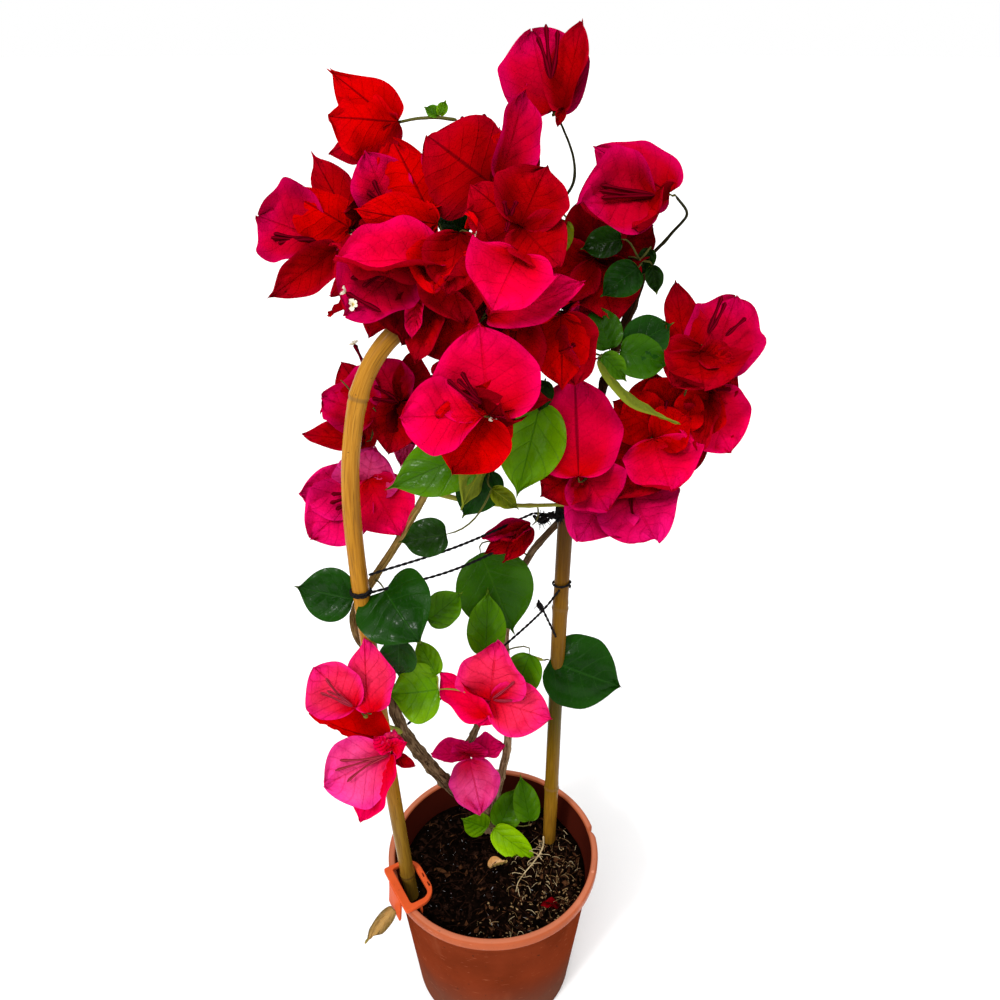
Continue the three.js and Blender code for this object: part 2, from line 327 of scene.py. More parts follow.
class Heap:
    """Small things of one kind, each with its finish and its own map, joined into one mesh."""

    def __init__(self, name, slot, finishes, map_name="Grain", shared_map=False):
        self.name, self.slot = name, slot
        self.finishes = list(finishes)
        self.map_name, self.shared_map = map_name, shared_map
        self.points, self.faces, self.maps, self.wears = [], [], [], []
        self.count = 0

    def add_points(self, points):
        """Returns the number of the first of these points in the heap."""
        first = self.count
        self.points.append(np.reshape(points, (-1, 3)))
        self.count += len(self.points[-1])
        return first

    def add_faces(self, faces, spread, finish):
        """The last axis of faces is the corners of a face; spread is the place of each on the map."""
        self.faces.append(faces.reshape(-1, faces.shape[-1]))
        self.maps.append(np.broadcast_to(spread, (*faces.shape, 2)).reshape(-1, 2))
        self.wears.append(np.full(len(self.faces[-1]), self.finishes.index(finish)))

    def build(self, *replaced, sharp=50):
        mesh = bpy.data.meshes.new(self.name)
        corners = np.concatenate([faces.ravel() for faces in self.faces])
        sizes = np.concatenate([np.full(len(faces), faces.shape[1]) for faces in self.faces])
        wears = np.concatenate(self.wears)
        spread = np.concatenate(self.maps)
        mesh.vertices.add(self.count)
        mesh.vertices.foreach_set("co", (np.concatenate(self.points) * MM).ravel())
        mesh.loops.add(len(corners))
        mesh.loops.foreach_set("vertex_index", corners)
        mesh.polygons.add(len(sizes))
        mesh.polygons.foreach_set("loop_start", np.concatenate([[0], np.cumsum(sizes)[:-1]]))
        mesh.polygons.foreach_set("material_index", wears)
        mesh.update(calc_edges=True)
        mesh.uv_layers.new(name=self.map_name).data.foreach_set("uv", spread.ravel())
        if self.shared_map:
            shared = self.tiled(spread, sizes, wears)
            mesh.uv_layers.new(name="OFBake").data.foreach_set("uv", shared.ravel())
        for finish in self.finishes:
            mesh.materials.append(finish.material)
        mesh.validate()
        mesh.shade_smooth()
        mesh.set_sharp_from_angle(angle=math.radians(sharp))
        return settle(new_object(self.name, mesh), self.slot, *replaced)

    def tiled(self, spread, sizes, wears):
        """Each finish gets one tile of a shared map, and all blades of that finish lie on it together."""
        across = math.ceil(math.sqrt(len(self.finishes)))
        tile = np.repeat(np.stack([wears % across, wears // across], 1), sizes, axis=0)
        return (tile + TILE_EDGE + spread * (1 - 2 * TILE_EDGE)) / across


def settle(piece, slot, *replaced):
    """Puts a finished piece on the plant's one body and hides the frame solids that it stands for."""
    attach(piece, "root")
    if replaced:
        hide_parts(*replaced)
    triangles = sum(len(face.vertices) - 2 for face in piece.data.polygons)
    print(f"{piece.name}: {triangles} triangles")
    return piece


# %% Routes
def between(one, other, t, start, end):
    return one + (other - one) * (t - start) / (end - start)


def smooth_route(points, step):
    """Centripetal curve through the points, sampled about every step millimetres."""
    points = np.asarray(points, float)
    padded = np.vstack([2 * points[0] - points[1], points, 2 * points[-1] - points[-2]])
    route = []
    for a, b, c, d in zip(padded, padded[1:], padded[2:], padded[3:]):
        gaps = [max(np.linalg.norm(q - p), 1e-4) ** 0.5 for p, q in ((a, b), (b, c), (c, d))]
        k0, k1, k2, k3 = np.cumsum([0] + gaps)
        count = max(2, round(np.linalg.norm(c - b) / step))
        for t in np.linspace(k1, k2, count, endpoint=False):
            early = between(a, b, t, k0, k1)
            middle = between(b, c, t, k1, k2)
            late = between(c, d, t, k2, k3)
            early, late = between(early, middle, t, k0, k2), between(middle, late, t, k1, k3)
            route.append(between(early, late, t, k1, k2))
    return np.array(route + [points[-1]])


def arm(start, out, end, arrive, steps):
    """A curve that leaves start along out and reaches end along arrive."""
    span = np.linalg.norm(end - start) * 0.38
    t = np.linspace(0, 1, steps + 1)[:, None]
    one, two = start + unit(out) * span, end - unit(arrive) * span
    return (1 - t) ** 3 * start + 3 * (1 - t) ** 2 * t * one + 3 * (1 - t) * t**2 * two + t**3 * end


def travel_along(route):
    """How far each step of a route is from its start."""
    return np.concatenate([[0], np.cumsum(np.linalg.norm(np.diff(route, axis=0), axis=1))])


def ring_frames(route):
    """Two directions square to the route at each step, carried along it without twist."""
    ahead = np.gradient(route, axis=0)
    ahead /= np.linalg.norm(ahead, axis=1)[:, None]
    side = np.cross(ahead[0], RIGHT if abs(ahead[0][0]) < 0.8 else UP)
    sides = []
    for direction in ahead:
        side = unit(side - np.dot(side, direction) * direction)
        sides.append(side)
    sides = np.array(sides)
    return sides, np.cross(ahead, sides)


print("a quarter bend:", np.round(arm(np.zeros(3), UP, UP + RIGHT, RIGHT, 2)[1], 2), "at half way")

# %% Rods along a route
END_SHARE = 0.55  # a rod's first and last ring are smaller, which rounds its ends


def add_rod(heap, finish, route, radius, sides, round_ends=True):
    """radius is a number, one number a ring, or a table of rings by sides."""
    rings = len(route)
    radius = np.asarray(radius, float)
    if radius.ndim < 2:
        radius = radius.reshape(-1, 1)
    radius = np.broadcast_to(radius, (rings, sides)).copy()
    if round_ends:
        radius[[0, -1]] *= END_SHARE
    one, two = ring_frames(route)
    turn = round_angles(sides)
    circle = np.cos(turn)[None, :, None] * one[:, None] + np.sin(turn)[None, :, None] * two[:, None]
    table = heap.add_points(route[:, None] + circle * radius[..., None]) + point_table(rings, sides)
    around = np.broadcast_to(np.arange(sides + 1) / sides, (rings, sides + 1))
    along = np.broadcast_to(travel_along(route)[:, None] / 10, around.shape)  # centimetres
    heap.add_faces(quads(closed(table)), np.stack([quads(around), quads(along)], -1), finish)
    heap.add_faces(np.stack([table[0, ::-1], table[-1]]), (0.5, 0.0), finish)


print("rods: ends at", END_SHARE, "of the radius")

# %% [markdown]
# ## The outline and the bend of a blade
# A blade starts flat: an outline with its widest place, a heart-shaped base and a drawn-out tip. Then it is
# given height: a cup or a fold along the midrib, a rippled margin, soft rumples, and a swelling between
# each two side veins. Last it is twisted and curled. Sculpting by hand would look as good on one bract, but
# there are some hundreds, and with a few named measures each can be a little different.

# %% Shape of a blade
VEIN_SWEEP = 0.35  # how far the side veins run forward on their way to the margin
PLAIN_BLADE = dict(widest=0.4, pinch=1.0, lobe=0.25, cup=0.15, fold=0.0, bend=15.0, ripple=0.03, waves=2.2,
                   phase=0.0, quilt=0.5, veins=6, twist=0.0, tip=0.04, bow=0.0, rumple=0.0, ragged=0.0)


def blade_outline(shape, length, width, along, across):
    """Places across and along the flat blade, and how full it is at each step."""
    edge = np.abs(across)
    power = math.log(0.5) / math.log(shape.widest)
    full = np.clip(np.sin(math.pi * along**power), 0, 1) ** (0.62 + shape.pinch * along**5)
    full = np.maximum(full, 0.02)
    wander = np.sin(2 * math.pi * 2.7 * along + 2 * shape.phase + 2.1 * np.sign(across))
    full = full * (1 + shape.ragged * wander * np.sin(math.pi * along) * edge**3)
    x = 0.5 * width * full * across + shape.bow * length * 4 * along * (1 - along)
    y = length * (along - shape.lobe * edge**1.6 * (1 - along) ** 3 * full)
    return x, y + length * shape.tip * (1 - edge) ** 2 * along**9, full


def blade_relief(shape, width, along, across, full):
    """How far each place stands out of the flat blade."""
    edge, phase = np.abs(across), shape.phase
    off = 0.5 * width * full * edge
    cup = shape.cup * width * 0.5 * (2 * off / width) ** 2 + shape.fold * off
    wave = np.sin(2 * math.pi * shape.waves * along + phase + np.where(across > 0, 1.3, 0.0))
    ripple = shape.ripple * width * edge**2.5 * wave
    folds = np.sin(6.1 * along + 2.9 * across + 3 * phase) * np.cos(5.2 * across - 2.4 * along + 1.7 * phase)
    rumple = shape.rumple * width * folds * np.minimum(1, 3 * edge) * np.minimum(1, 4 * along)
    swell = np.sin(math.pi * shape.veins * (along - VEIN_SWEEP * edge)) ** 2 - 0.5
    quilt = shape.quilt * swell * (1 - edge**4) * np.minimum(1, edge * 4) * np.minimum(1, 6 * (1 - along))
    return cup + ripple + rumple + quilt


def blade_grid(shape, length, width, rows, columns):
    """Points on the blade's own axes, x across, y to its tip, z out of its face; then its map."""
    even = np.linspace(0, 1, rows + 1)
    along = (0.55 * even + 0.45 * (0.5 - 0.5 * np.cos(math.pi * even)))[:, None]
    across = np.linspace(-1, 1, columns + 1)[None, :]
    x, y, full = blade_outline(shape, length, width, along, across)
    height = blade_relief(shape, width, along, across, full)
    turned = math.radians(shape.twist) * along
    x, height = x * np.cos(turned) - height * np.sin(turned), x * np.sin(turned) + height * np.cos(turned)
    curl = math.radians(shape.bend) if abs(shape.bend) > 0.5 else 0.01
    angle = curl * y / length
    y_bent = length / curl * np.sin(angle) - height * np.sin(angle)
    z_bent = length / curl * (1 - np.cos(angle)) + height * np.cos(angle)
    spread = [np.broadcast_to((across + 1) / 2, x.shape), np.broadcast_to(along, x.shape)]
    return np.stack([x, y_bent, z_bent], -1), spread


print("a blade has", len(PLAIN_BLADE), "measures of shape")


# %% Blades with two sides
def add_blade(heap, finishes, base, direction, face, size, grid, thick, **own):
    """A thin solid blade from base along direction. finishes are for the side toward face, and the other."""
    rows, columns = grid
    flat, (u, v) = blade_grid(SimpleNamespace(**{**PLAIN_BLADE, **own}), *size, rows, columns)
    direction = unit(direction)
    face = unit(face - np.dot(face, direction) * direction)
    front = base + flat @ np.stack([np.cross(direction, face), direction, face])
    normal = np.cross(np.gradient(front, axis=1), np.gradient(front, axis=0))
    normal /= np.maximum(np.linalg.norm(normal, axis=-1, keepdims=True), 1e-9)
    back = (front - normal * thick)[1:-1, 1:-1]  # both sides share their margin
    fore = heap.add_points(front) + point_table(rows + 1, columns + 1)
    rear = fore.copy()
    rear[1:-1, 1:-1] = heap.add_points(back) + point_table(rows - 1, columns - 1)
    for table, order, finish in zip((fore, rear), (FORWARD, TURNED), finishes):
        heap.add_faces(quads(table, order), np.stack([quads(u, order), quads(v, order)], -1), finish)


print("tools ready: heap, rod, blade")

# %% [markdown]
# ## The plastic of the pot
# The real pot is injection moulded in one thin shell of brown terracotta plastic. It is clouded and dusty,
# and soiled at the foot. Its rim is painted paler than the wall: painted light for the bright sky over its
# top and for its broad highlight. The rim also carries thin painted highlights, partly wear, along its lower
# edge and over its top. The inside is painted dark, as painted shade. One colour would look like new
# plastic, so thin layers go over it one after the other: cloud, dust, specks, painted highlight and wear on
# the rim, soil on the wall, and a few scratches.

# %% Finishes of the pot
POT_COLOURS = {  # the plastic, and the dust on it
    "pot_wall": ((0.180, 0.029, 0.009), (0.42, 0.13, 0.06)),
    # The rim's paler plastic is painted light: it stands in for the sky light on the rim's top and its broad
    # highlight.
    "pot_rim": ((0.41, 0.094, 0.036), (0.72, 0.30, 0.19)),
    # The inside is painted shade: the same plastic, made dark where light falls off inside the pot.
    "pot_inside_shaded": ((0.06, 0.008, 0.004), (0.07, 0.012, 0.006)),
}
# The third colour is a painted highlight, partly wear, for thin lines along the lip.
POT_SPECK, POT_SOIL, POT_WEAR_AND_HIGHLIGHT = (0.03, 0.016, 0.01), (0.125, 0.060, 0.042), (0.78, 0.34, 0.21)
CLOUD_SHADE = 0.72
LIP_EDGE = 0.1178  # metres above the ground
LIP_TOP = (0.1243, 0.1250)


def pot_finish(name, roughness):
    plastic, dust = POT_COLOURS[name]
    on_rim = name == "pot_rim"
    finish = Finish(name, roughness, 0.03 if on_rim else 0.0)
    place = finish.place()
    height = finish.split(place)[2]
    cloud = finish.noise(place, 22, detail=4)
    haze = finish.noise(finish.place((1, 1, 0.35)), 60, detail=5)
    specks = finish.noise(place, 420, detail=2)
    scratches = finish.noise(finish.place((1, 1, 9)), 130, detail=1)
    colour = finish.layer(plastic, tuple(part * CLOUD_SHADE for part in plastic), cloud, 0.35, 0.7)
    colour = finish.layer(colour, dust, haze, 0.58, 0.80, 0.16)
    colour = finish.layer(colour, POT_SPECK, specks, 0.70, 0.74, 0.8)
    if on_rim:
        # Thin pale lines along the lip's lower edge and over its top: painted highlight, partly wear.
        edge = finish.mask(finish.distance(height, LIP_EDGE), 0.0002, 0.0008, 0.5, 0.0)
        wear_and_highlight = finish.maths("MAXIMUM", edge, finish.mask(height, *LIP_TOP, 0.0, 0.2))
        colour = finish.mix(wear_and_highlight, colour, POT_WEAR_AND_HIGHLIGHT)
    else:
        soiled = finish.times(finish.mask(height, 0.0, 0.07, 1.3, 0.0), cloud)
        colour = finish.mix(soiled, colour, POT_SOIL)
    finish.colour(finish.layer(colour, dust, scratches, 0.71, 0.76, 0.5))
    polish = finish.mask(cloud, 0.3, 0.75, roughness - 0.06, roughness + 0.16)
    finish.fill(finish.shader, Roughness=polish)
    finish.bump(finish.noise(place, 700, detail=2), 0.05, 0.25)
    return finish


pot_wall = pot_finish("pot_wall", 0.24)
pot_rim = pot_finish("pot_rim", 0.24)
pot_inside_shaded = pot_finish("pot_inside_shaded", 0.5)
print("pot finishes:", ", ".join(POT_COLOURS))

# %% [markdown]
# ## The pot
# The wall is tapered, with a step and a rolled rim that stands out so that pots can be stacked, and a small
# bite is broken out of the rim.
# A lathe suits it. The profile is turned round the axis point by point, so the bite and the slight waviness
# of a thin rim are only moves of single rim points.

# %% Profile of the pot
POT = dict(height=125, rim=75, lip=70.2, wall_top=117, shoulder=70.6, foot=58, wall=1.8)
UNDERSIDE = 1.4  # the middle of the bottom stands this high, on a foot ring


def wall_radius(z):
    return POT["foot"] + (POT["shoulder"] - POT["foot"]) * z / POT["wall_top"]


def arc(across, up, radius, start, end, count=5):
    angles = np.radians(np.linspace(start, end, count))
    return [(across + radius * math.cos(a), up + radius * math.sin(a)) for a in angles]


def pot_profile():
    """Radius and height from the middle of the underside, out, up, over the rim and down inside."""
    top, rim, wall, lip = POT["height"], POT["rim"], POT["wall"], POT["lip"]
    foot_ring = [(46, UNDERSIDE), (48, 1.2), (49, 0), (POT["foot"] - 2, 0)]
    outside = [(wall_radius(z), z) for z in (2, 3, 8, 20, 40, 60, 80, 96, 104)]
    step = [(wall_radius(108), 108), (wall_radius(110) + 0.7, 109), (wall_radius(112) + 0.9, 112)]
    lip_low = [(71.6, 116.5), (72.2, 117.3)] + arc(rim - 1.6, 119.2, 1.6, -80, 0)
    lip_top = arc(rim - 2.0, top - 2.0, 2.0, 0, 90) + arc(lip + 1.6, top - 1.6, 1.6, 90, 180)
    inside = [(69.9, 120), (POT["shoulder"] - wall, 116)]
    inside += [(wall_radius(z) - wall, z) for z in (100, 80, 50, 20, 4)] + [(wall_radius(2) - 4, wall)]
    return foot_ring + outside + step + lip_low + lip_top + inside


profile = pot_profile()
print("pot profile:", len(profile), "points,", POT["height"], "mm high")

# %% Turn the pot
POT_SIDES = 144
BITE = dict(turn=12, half_width=2.6, depth=2.6)  # degrees from the right-hand side, and millimetres
RIM_WAVE = 0.35


def wear_rim(rings, angle):
    """Breaks the bite out of the rim, and lets the thin wall wave a little."""
    off = np.degrees(angle) - BITE["turn"]
    off = (off + 180) % 360 - 180
    bite = np.clip(1 - np.abs(off) / BITE["half_width"], 0, 1)
    bite *= 0.75 + 0.25 * np.sin(off * 2.1)
    reach = np.linalg.norm(rings[..., :2], axis=-1)
    bite = ((rings[..., 2] > 118.5) & (reach > POT["lip"] - 0.4)) * bite
    outer = np.clip((reach - 71.5) / 3, 0, 1)
    rings[..., 2] -= bite * BITE["depth"] * (0.3 + 0.7 * outer)
    rings[..., :2] *= 1 - (bite * outer * 0.028)[..., None]
    wave = RIM_WAVE * np.sin(2 * angle + 0.6) + 0.2 * np.sin(5 * angle)
    rings[..., :2] *= 1 + (wave / POT["rim"])[:, None] * np.clip((rings[..., 2:3] - 60) / 65, 0, 1)


def turn_pot():
    heap = Heap("moulded_pot", "pot_plastic", [pot_wall, pot_rim, pot_inside_shaded])
    angle = round_angles(POT_SIDES)
    rings = np.array([[[r * math.cos(a), r * math.sin(a), z] for a in angle] for r, z in profile])
    wear_rim(rings, angle)
    count = len(rings)
    table = heap.add_points(rings) + point_table(count, POT_SIDES)
    under = heap.add_points([[0, 0, UNDERSIDE], [0, 0, POT["wall"]]])
    around = np.broadcast_to(np.arange(POT_SIDES + 1) / POT_SIDES, (count, POT_SIDES + 1))
    faces = quads(closed(table))
    along = np.broadcast_to(np.arange(count)[:, None] / count, around.shape)
    spread = np.stack([quads(around), quads(along)], -1)
    lip_start = next(k for k, (r, z) in enumerate(profile) if z > 116)
    inside_start = next(k for k, (r, z) in enumerate(profile) if k > lip_start and z < 121 and r < 70.5)
    ends = (0, lip_start, inside_start - 1, count - 1)
    for start, end, finish in zip(ends, ends[1:], heap.finishes):
        heap.add_faces(faces[start:end], spread[start:end], finish)
    heap.add_faces(fan(under, table[0])[:, [0, 2, 1]], (0.5, 0.5), pot_wall)
    heap.add_faces(fan(under + 1, table[-1]), (0.5, 0.5), pot_inside_shaded)
    return heap.build("pot", sharp=40)


moulded_pot = turn_pot()

# %% [markdown]
# ## Drain holes
# Six round holes let the water out. They are cut with a boolean, which is simpler than leaving gaps in the
# turned rings, and it is applied at once so that the holes are real.

# %% Drain holes
DRAIN = dict(count=6, radius=4, ring=38)


def bore_drains(pot):
    cutters = []
    for a in round_angles(DRAIN["count"]):
        place = (DRAIN["ring"] * MM * math.cos(a), DRAIN["ring"] * MM * math.sin(a), 0)
        radius = DRAIN["radius"] * MM
        bpy.ops.mesh.primitive_cylinder_add(vertices=20, radius=radius, depth=0.01, location=place)
        cutters.append(bpy.context.object)
    join_into(cutters[0], cutters)
    cut = pot.modifiers.new("drains", "BOOLEAN")
    cut.object, cut.operation, cut.solver = cutters[0], "DIFFERENCE", "EXACT"
    pot.data = finished_mesh(pot)
    pot.modifiers.clear()
    bpy.data.objects.remove(cutters[0])


def join_into(first, pieces):
    chosen = dict(active_object=first, selected_editable_objects=pieces, selected_objects=pieces)
    with bpy.context.temp_override(**chosen):
        bpy.ops.object.join()


def finished_mesh(piece):
    """The mesh of a piece with its modifiers carried out."""
    graph = bpy.context.evaluated_depsgraph_get()
    return bpy.data.meshes.new_from_object(piece.evaluated_get(graph))


bore_drains(moulded_pot)
print("pot with drains:", len(moulded_pot.data.polygons), "faces")

# %% [markdown]
# ## The potting mix
# The mix is dark peat with chips of bark, and pale straw and root fibres that lie mostly at the right. A
# flat disc with a texture would look painted on, so the bed is a solid with a rolling top, and chips,
# crumbs and fibres are scattered on it as real pieces. All of them come from seeded generators, so they
# fall the same way each time.

# %% Finishes of the mix
EARTHS = {  # dark grains, light grains, roughness
    "peat": ((0.0010, 0.0006, 0.0004), (0.0045, 0.0022, 0.0013), 0.9),
    "dark_chip": ((0.005, 0.0022, 0.0014), (0.024, 0.010, 0.006), 0.75),
    "brown_chip": ((0.020, 0.007, 0.003), (0.085, 0.034, 0.014), 0.7),
    "grey_chip": ((0.10, 0.10, 0.10), (0.34, 0.34, 0.35), 0.6),
    "straw": ((0.12, 0.065, 0.025), (0.36, 0.235, 0.11), 0.7),
    "pale_fibre": ((0.36, 0.26, 0.13), (0.70, 0.56, 0.33), 0.7),
}


def earth_finish(name, dark, light, roughness):
    finish = Finish(name, roughness, 0.0)
    grain = finish.noise(finish.place(), 260, detail=5, rough=0.7)
    finish.colour(finish.layer(dark, light, grain, 0.35, 0.65))
    finish.bump(grain, 0.5, 0.8)
    return finish


earth = {name: earth_finish(name, *recipe) for name, recipe in EARTHS.items()}
print("earth finishes:", ", ".join(earth))

# %% Bed of peat
SOIL_TOP = 103
SOIL_FLOOR = 2.1
BED = dict(rings=44, sides=128, roughness=0.28, from_wall=0.5)
soil_draw = np.random.default_rng(31)
swells = soil_draw.uniform(-1, 1, (14, 4)) * [0.14, 0.14, 1, 1]
swells[:, 3] = soil_draw.uniform(0, 6.28, 14)


def soil_height(x, y):
    """Top of the peat: rolling, and lower against the wall."""
    slow = sum(h * np.sin(a * x + b * y + c) for a, b, h, c in swells) * 0.42
    from_wall = np.hypot(x, y) / 66
    return SOIL_TOP - 0.7 + slow * 1.2 - 2.2 * np.clip(from_wall - 0.88, 0, 1) * 6


def lay_soil():
    heap = Heap("soil_bed", "soil", [earth["peat"]])
    rings, sides = BED["rings"], BED["sides"]
    edge = wall_radius(SOIL_TOP) - POT["wall"] - BED["from_wall"]
    radius = edge * np.sin(np.linspace(0.02, 1, rings) * math.pi / 2)
    angle = round_angles(sides)
    x, y = radius[:, None] * np.cos(angle), radius[:, None] * np.sin(angle)
    top = np.stack([x, y, soil_height(x, y) + soil_draw.normal(0, BED["roughness"], x.shape)], -1)
    reach = wall_radius(SOIL_FLOOR) - POT["wall"] - 0.8
    foot = np.stack([reach * np.cos(angle), reach * np.sin(angle), np.full(sides, SOIL_FLOOR)], -1)
    table = heap.add_points(np.vstack([top, foot[None]])) + point_table(rings + 1, sides)
    middle = heap.add_points([[0, 0, top[0, :, 2].mean()], [0, 0, SOIL_FLOOR]])
    heap.add_faces(quads(closed(table), TURNED), (0, 0), earth["peat"])
    ends = np.vstack([fan(middle, table[0]), fan(middle + 1, table[-1])[:, [0, 2, 1]]])
    heap.add_faces(ends, (0, 0), earth["peat"])
    heap.build("soil", sharp=80)


lay_soil()

# %% Places on the bed
BED_REACH = 64


def on_bed(x, y, lift=0.0):
    return np.array([x, y, float(soil_height(x, y)) + lift])


def bed_place(draw, rightward):
    """A random place on the bed, drawn to the right and front when rightward is above 0."""
    while True:
        radius, angle = BED_REACH * math.sqrt(draw.uniform(0, 1)), draw.uniform(0, 2 * math.pi)
        x, y = radius * math.cos(angle), radius * math.sin(angle)
        leftness = 0.5 - 0.5 * (0.8 * x - 0.3 * y) / BED_REACH
        if draw.uniform() < 1 - rightward * min(1, 1.9 * leftness):
            return on_bed(x, y)


def pick(draw, measure):
    """A measure is one number, or the two that it is drawn between."""
    return draw.uniform(*measure) if isinstance(measure, tuple) else measure


print("bed in the middle:", round(on_bed(0, 0)[2], 1), "mm up")

# %% Chips and crumbs
CHIP_CORNERS = np.array([[0, 0, 1], [1, 0, 0.2], [0, 1, -0.1], [-1, 0, 0.1], [0, -1, 0], [0, 0, -1]])
CHIP_FACES = np.array([[0, 1, 2], [0, 2, 3], [0, 3, 4], [0, 4, 1], [5, 2, 1], [5, 3, 2],
                       [5, 4, 3], [5, 1, 4]])
CRUMBS = 3400
CHIPS = [  # how many, finish, how far to the right, length, width as a share of it, thickness
    (420, "dark_chip", 0.0, (3, 9), (0.3, 0.7), (0.8, 1.8)),
    (160, "brown_chip", 0.93, (2.5, 7.5), (0.25, 0.6), 1.2),
    (100, "grey_chip", 0.0, (1.5, 5), 0.14, 0.4),
    (270, "straw", 1.0, (1, 5), 0.4, 0.6),
]
BIG_CHIPS = [  # right, front, length
    (-38, 2, 9), (-33, 6, 7), (-24, 0, 6), (46, -8, 8), (14, 20, 7), (52, 12, 6),
]


def random_axes(draw, flatness):
    """Three square axes, nearly level when flatness is near 1."""
    up = unit(np.array([draw.normal(), draw.normal(), 0]) * (1 - flatness) + [0, 0, 1])
    level = unit(np.cross(up, draw.normal(size=3)))
    return np.stack([level, np.cross(up, level), up])


def add_chip(heap, name, draw, place, length, width, thick, flatness=0.7):
    axes = random_axes(draw, flatness)
    corners = CHIP_CORNERS * draw.uniform(0.65, 1.1, (6, 3)) * [length / 2, width / 2, thick / 2]
    first = heap.add_points(place + corners @ axes)
    heap.add_faces(first + CHIP_FACES, (0, 0), earth[name])


def strew_chips():
    names = ["peat", "dark_chip", "brown_chip", "grey_chip", "straw"]
    heap = Heap("bark_chips", "soil", [earth[name] for name in names])
    draw = np.random.default_rng(7)
    for _ in range(CRUMBS):
        size = draw.uniform(0.8, 2.4)
        name = "peat" if draw.uniform() < 0.7 else "dark_chip"
        add_chip(heap, name, draw, bed_place(draw, 0.0), size, size * 0.8, size * 0.7, 0.3)
    for count, name, rightward, long, wide, thick in CHIPS:
        for _ in range(count):
            length = pick(draw, long)
            place = bed_place(draw, rightward)
            add_chip(heap, name, draw, place, length, length * pick(draw, wide), pick(draw, thick))
    for right, front, length in BIG_CHIPS:
        add_chip(heap, "brown_chip", draw, on_bed(right, -front, 1), length, length * 0.7, 2.2, 0.85)
    heap.build(sharp=20)


strew_chips()

# %% Fibres on the mix
FIBRES = [  # how many, finish, how far to the right, length, thickness, how far the middle is lifted
    (50, "brown_chip", 0.8, (4, 16), (0.15, 0.4), (0, 2)),
    (120, "dark_chip", 0.0, (6, 20), (0.2, 0.5), (0, 2.5)),
    (55, "straw", 1.0, (2, 10), (0.1, 0.24), (0, 3)),
    (34, "pale_fibre", 1.0, (2, 8), (0.1, 0.22), (0, 3)),
]
FIBRE_REACH = 66  # a fibre that would touch the wall is left out
fibre_draw = np.random.default_rng(19)
FIBRE_KINDS = ("dark_chip", "brown_chip", "straw", "pale_fibre")
fibre_heap = Heap("straw_fibres", "soil", [earth[name] for name in FIBRE_KINDS])


def add_fibre(name, place, length, thick, lift):
    """A fibre bowed sideways, lifted in the middle, and nowhere below the peat."""
    turn = fibre_draw.uniform(0, 2 * math.pi)
    ahead = np.array([math.cos(turn), math.sin(turn), fibre_draw.uniform(-0.1, 0.25)])
    side = np.array([-ahead[1], ahead[0], 0])
    t = np.linspace(-0.5, 0.5, 9)[:, None]
    bow = fibre_draw.uniform(-0.14, 0.14) * length * (0.25 - t**2) * 3
    route = place + ahead * t * length + side * bow + [0, 0, 1] * (lift * (0.25 - t**2) * 4 + 0.5)
    route[:, 2] = np.maximum(route[:, 2], soil_height(route[:, 0], route[:, 1]) + 0.2)
    if (np.hypot(route[:, 0], route[:, 1]) < FIBRE_REACH).all():
        add_rod(fibre_heap, earth[name], route, thick * 0.8, 5)


for count, name, rightward, *measures in FIBRES:
    for _ in range(count):
        place = bed_place(fibre_draw, rightward)
        add_fibre(name, place, *[pick(fibre_draw, measure) for measure in measures])
print("fibres:", sum(row[0] for row in FIBRES), "strewn, fewer kept")

# %% Cream roots at the right leg
ROOT_FOOT = np.array([36.0, 18.0, SOIL_TOP])
ROOT_WAY = [[1, -2, 14], [1, -3, 5], [-1, -7, 3], [-6, -15, 3], [-13, -24, 2.5], [-18, -32, 2.5],
            [-20, -39, 1.5]]


def lay_roots():
    """A tuft of bare cream roots at the foot of the right leg, running forward over the mix."""
    main = smooth_route([ROOT_FOOT + step for step in ROOT_WAY], 1.0)
    add_rod(fibre_heap, earth["pale_fibre"], main, np.linspace(0.75, 0.25, len(main)), 7)
    for k in range(34):
        start = main[fibre_draw.integers(4, len(main) - 3)]
        reach = [fibre_draw.uniform(-8, 8), fibre_draw.uniform(-9, 5), fibre_draw.uniform(-1.5, 2)]
        end = start + np.array(reach)
        end[2] = max(end[2], on_bed(end[0], end[1], 0.6)[2])
        root = arm(start, fibre_draw.normal(size=3) + [0, -1, 0.6], end, [0.3, -0.3, -0.5], 7)
        add_rod(fibre_heap, earth["pale_fibre" if k % 3 else "straw"], root, 0.18, 5)


lay_roots()
fibre_heap.build(sharp=60)

# %% [markdown]
# ## The clip on the rim
# An orange plastic ring with one straight side hooks over the rim and keeps the left leg of the hoop in
# place. It is a flat plate with a hole, a tongue outside the pot and a tab inside. A filled 2D curve with a
# hole and a small bevel gives the moulded plate its round edges in one go.

# %% Clip finish
clip_orange = Finish("clip_orange", 0.42, 0.03)
clip_place = clip_orange.place()
clip_cloud = clip_orange.noise(clip_place, 90)
clip_base = clip_orange.mix(clip_cloud, (0.66, 0.098, 0.024), (0.52, 0.066, 0.015))
clip_dirt = clip_orange.noise(clip_place, 300)
clip_orange.colour(clip_orange.layer(clip_base, (0.12, 0.035, 0.015), clip_dirt, 0.66, 0.74, 0.6))
clip_orange.bump(clip_orange.noise(clip_place, 500), 0.08, 0.3)
print("clip finish:", clip_orange.material.name)

# %% Outlines of the clip, as radial and sideways millimetres
CLIP_PLATE = dict(inner=53, outer=76.6, left=-20.5, right=18, corner=12)
CLIP_HOLE = dict(inner=57, outer=71.2, left=-17.2, right=14, corner=6)
CLIP_SLITS = [(54.3, 5.5), (54.4, -2.5)]
SLIT_WIDTH, SLIT_LENGTH = 1.0, 3.6
CLIP_SOFT = 1.6  # radius of the two outer corners


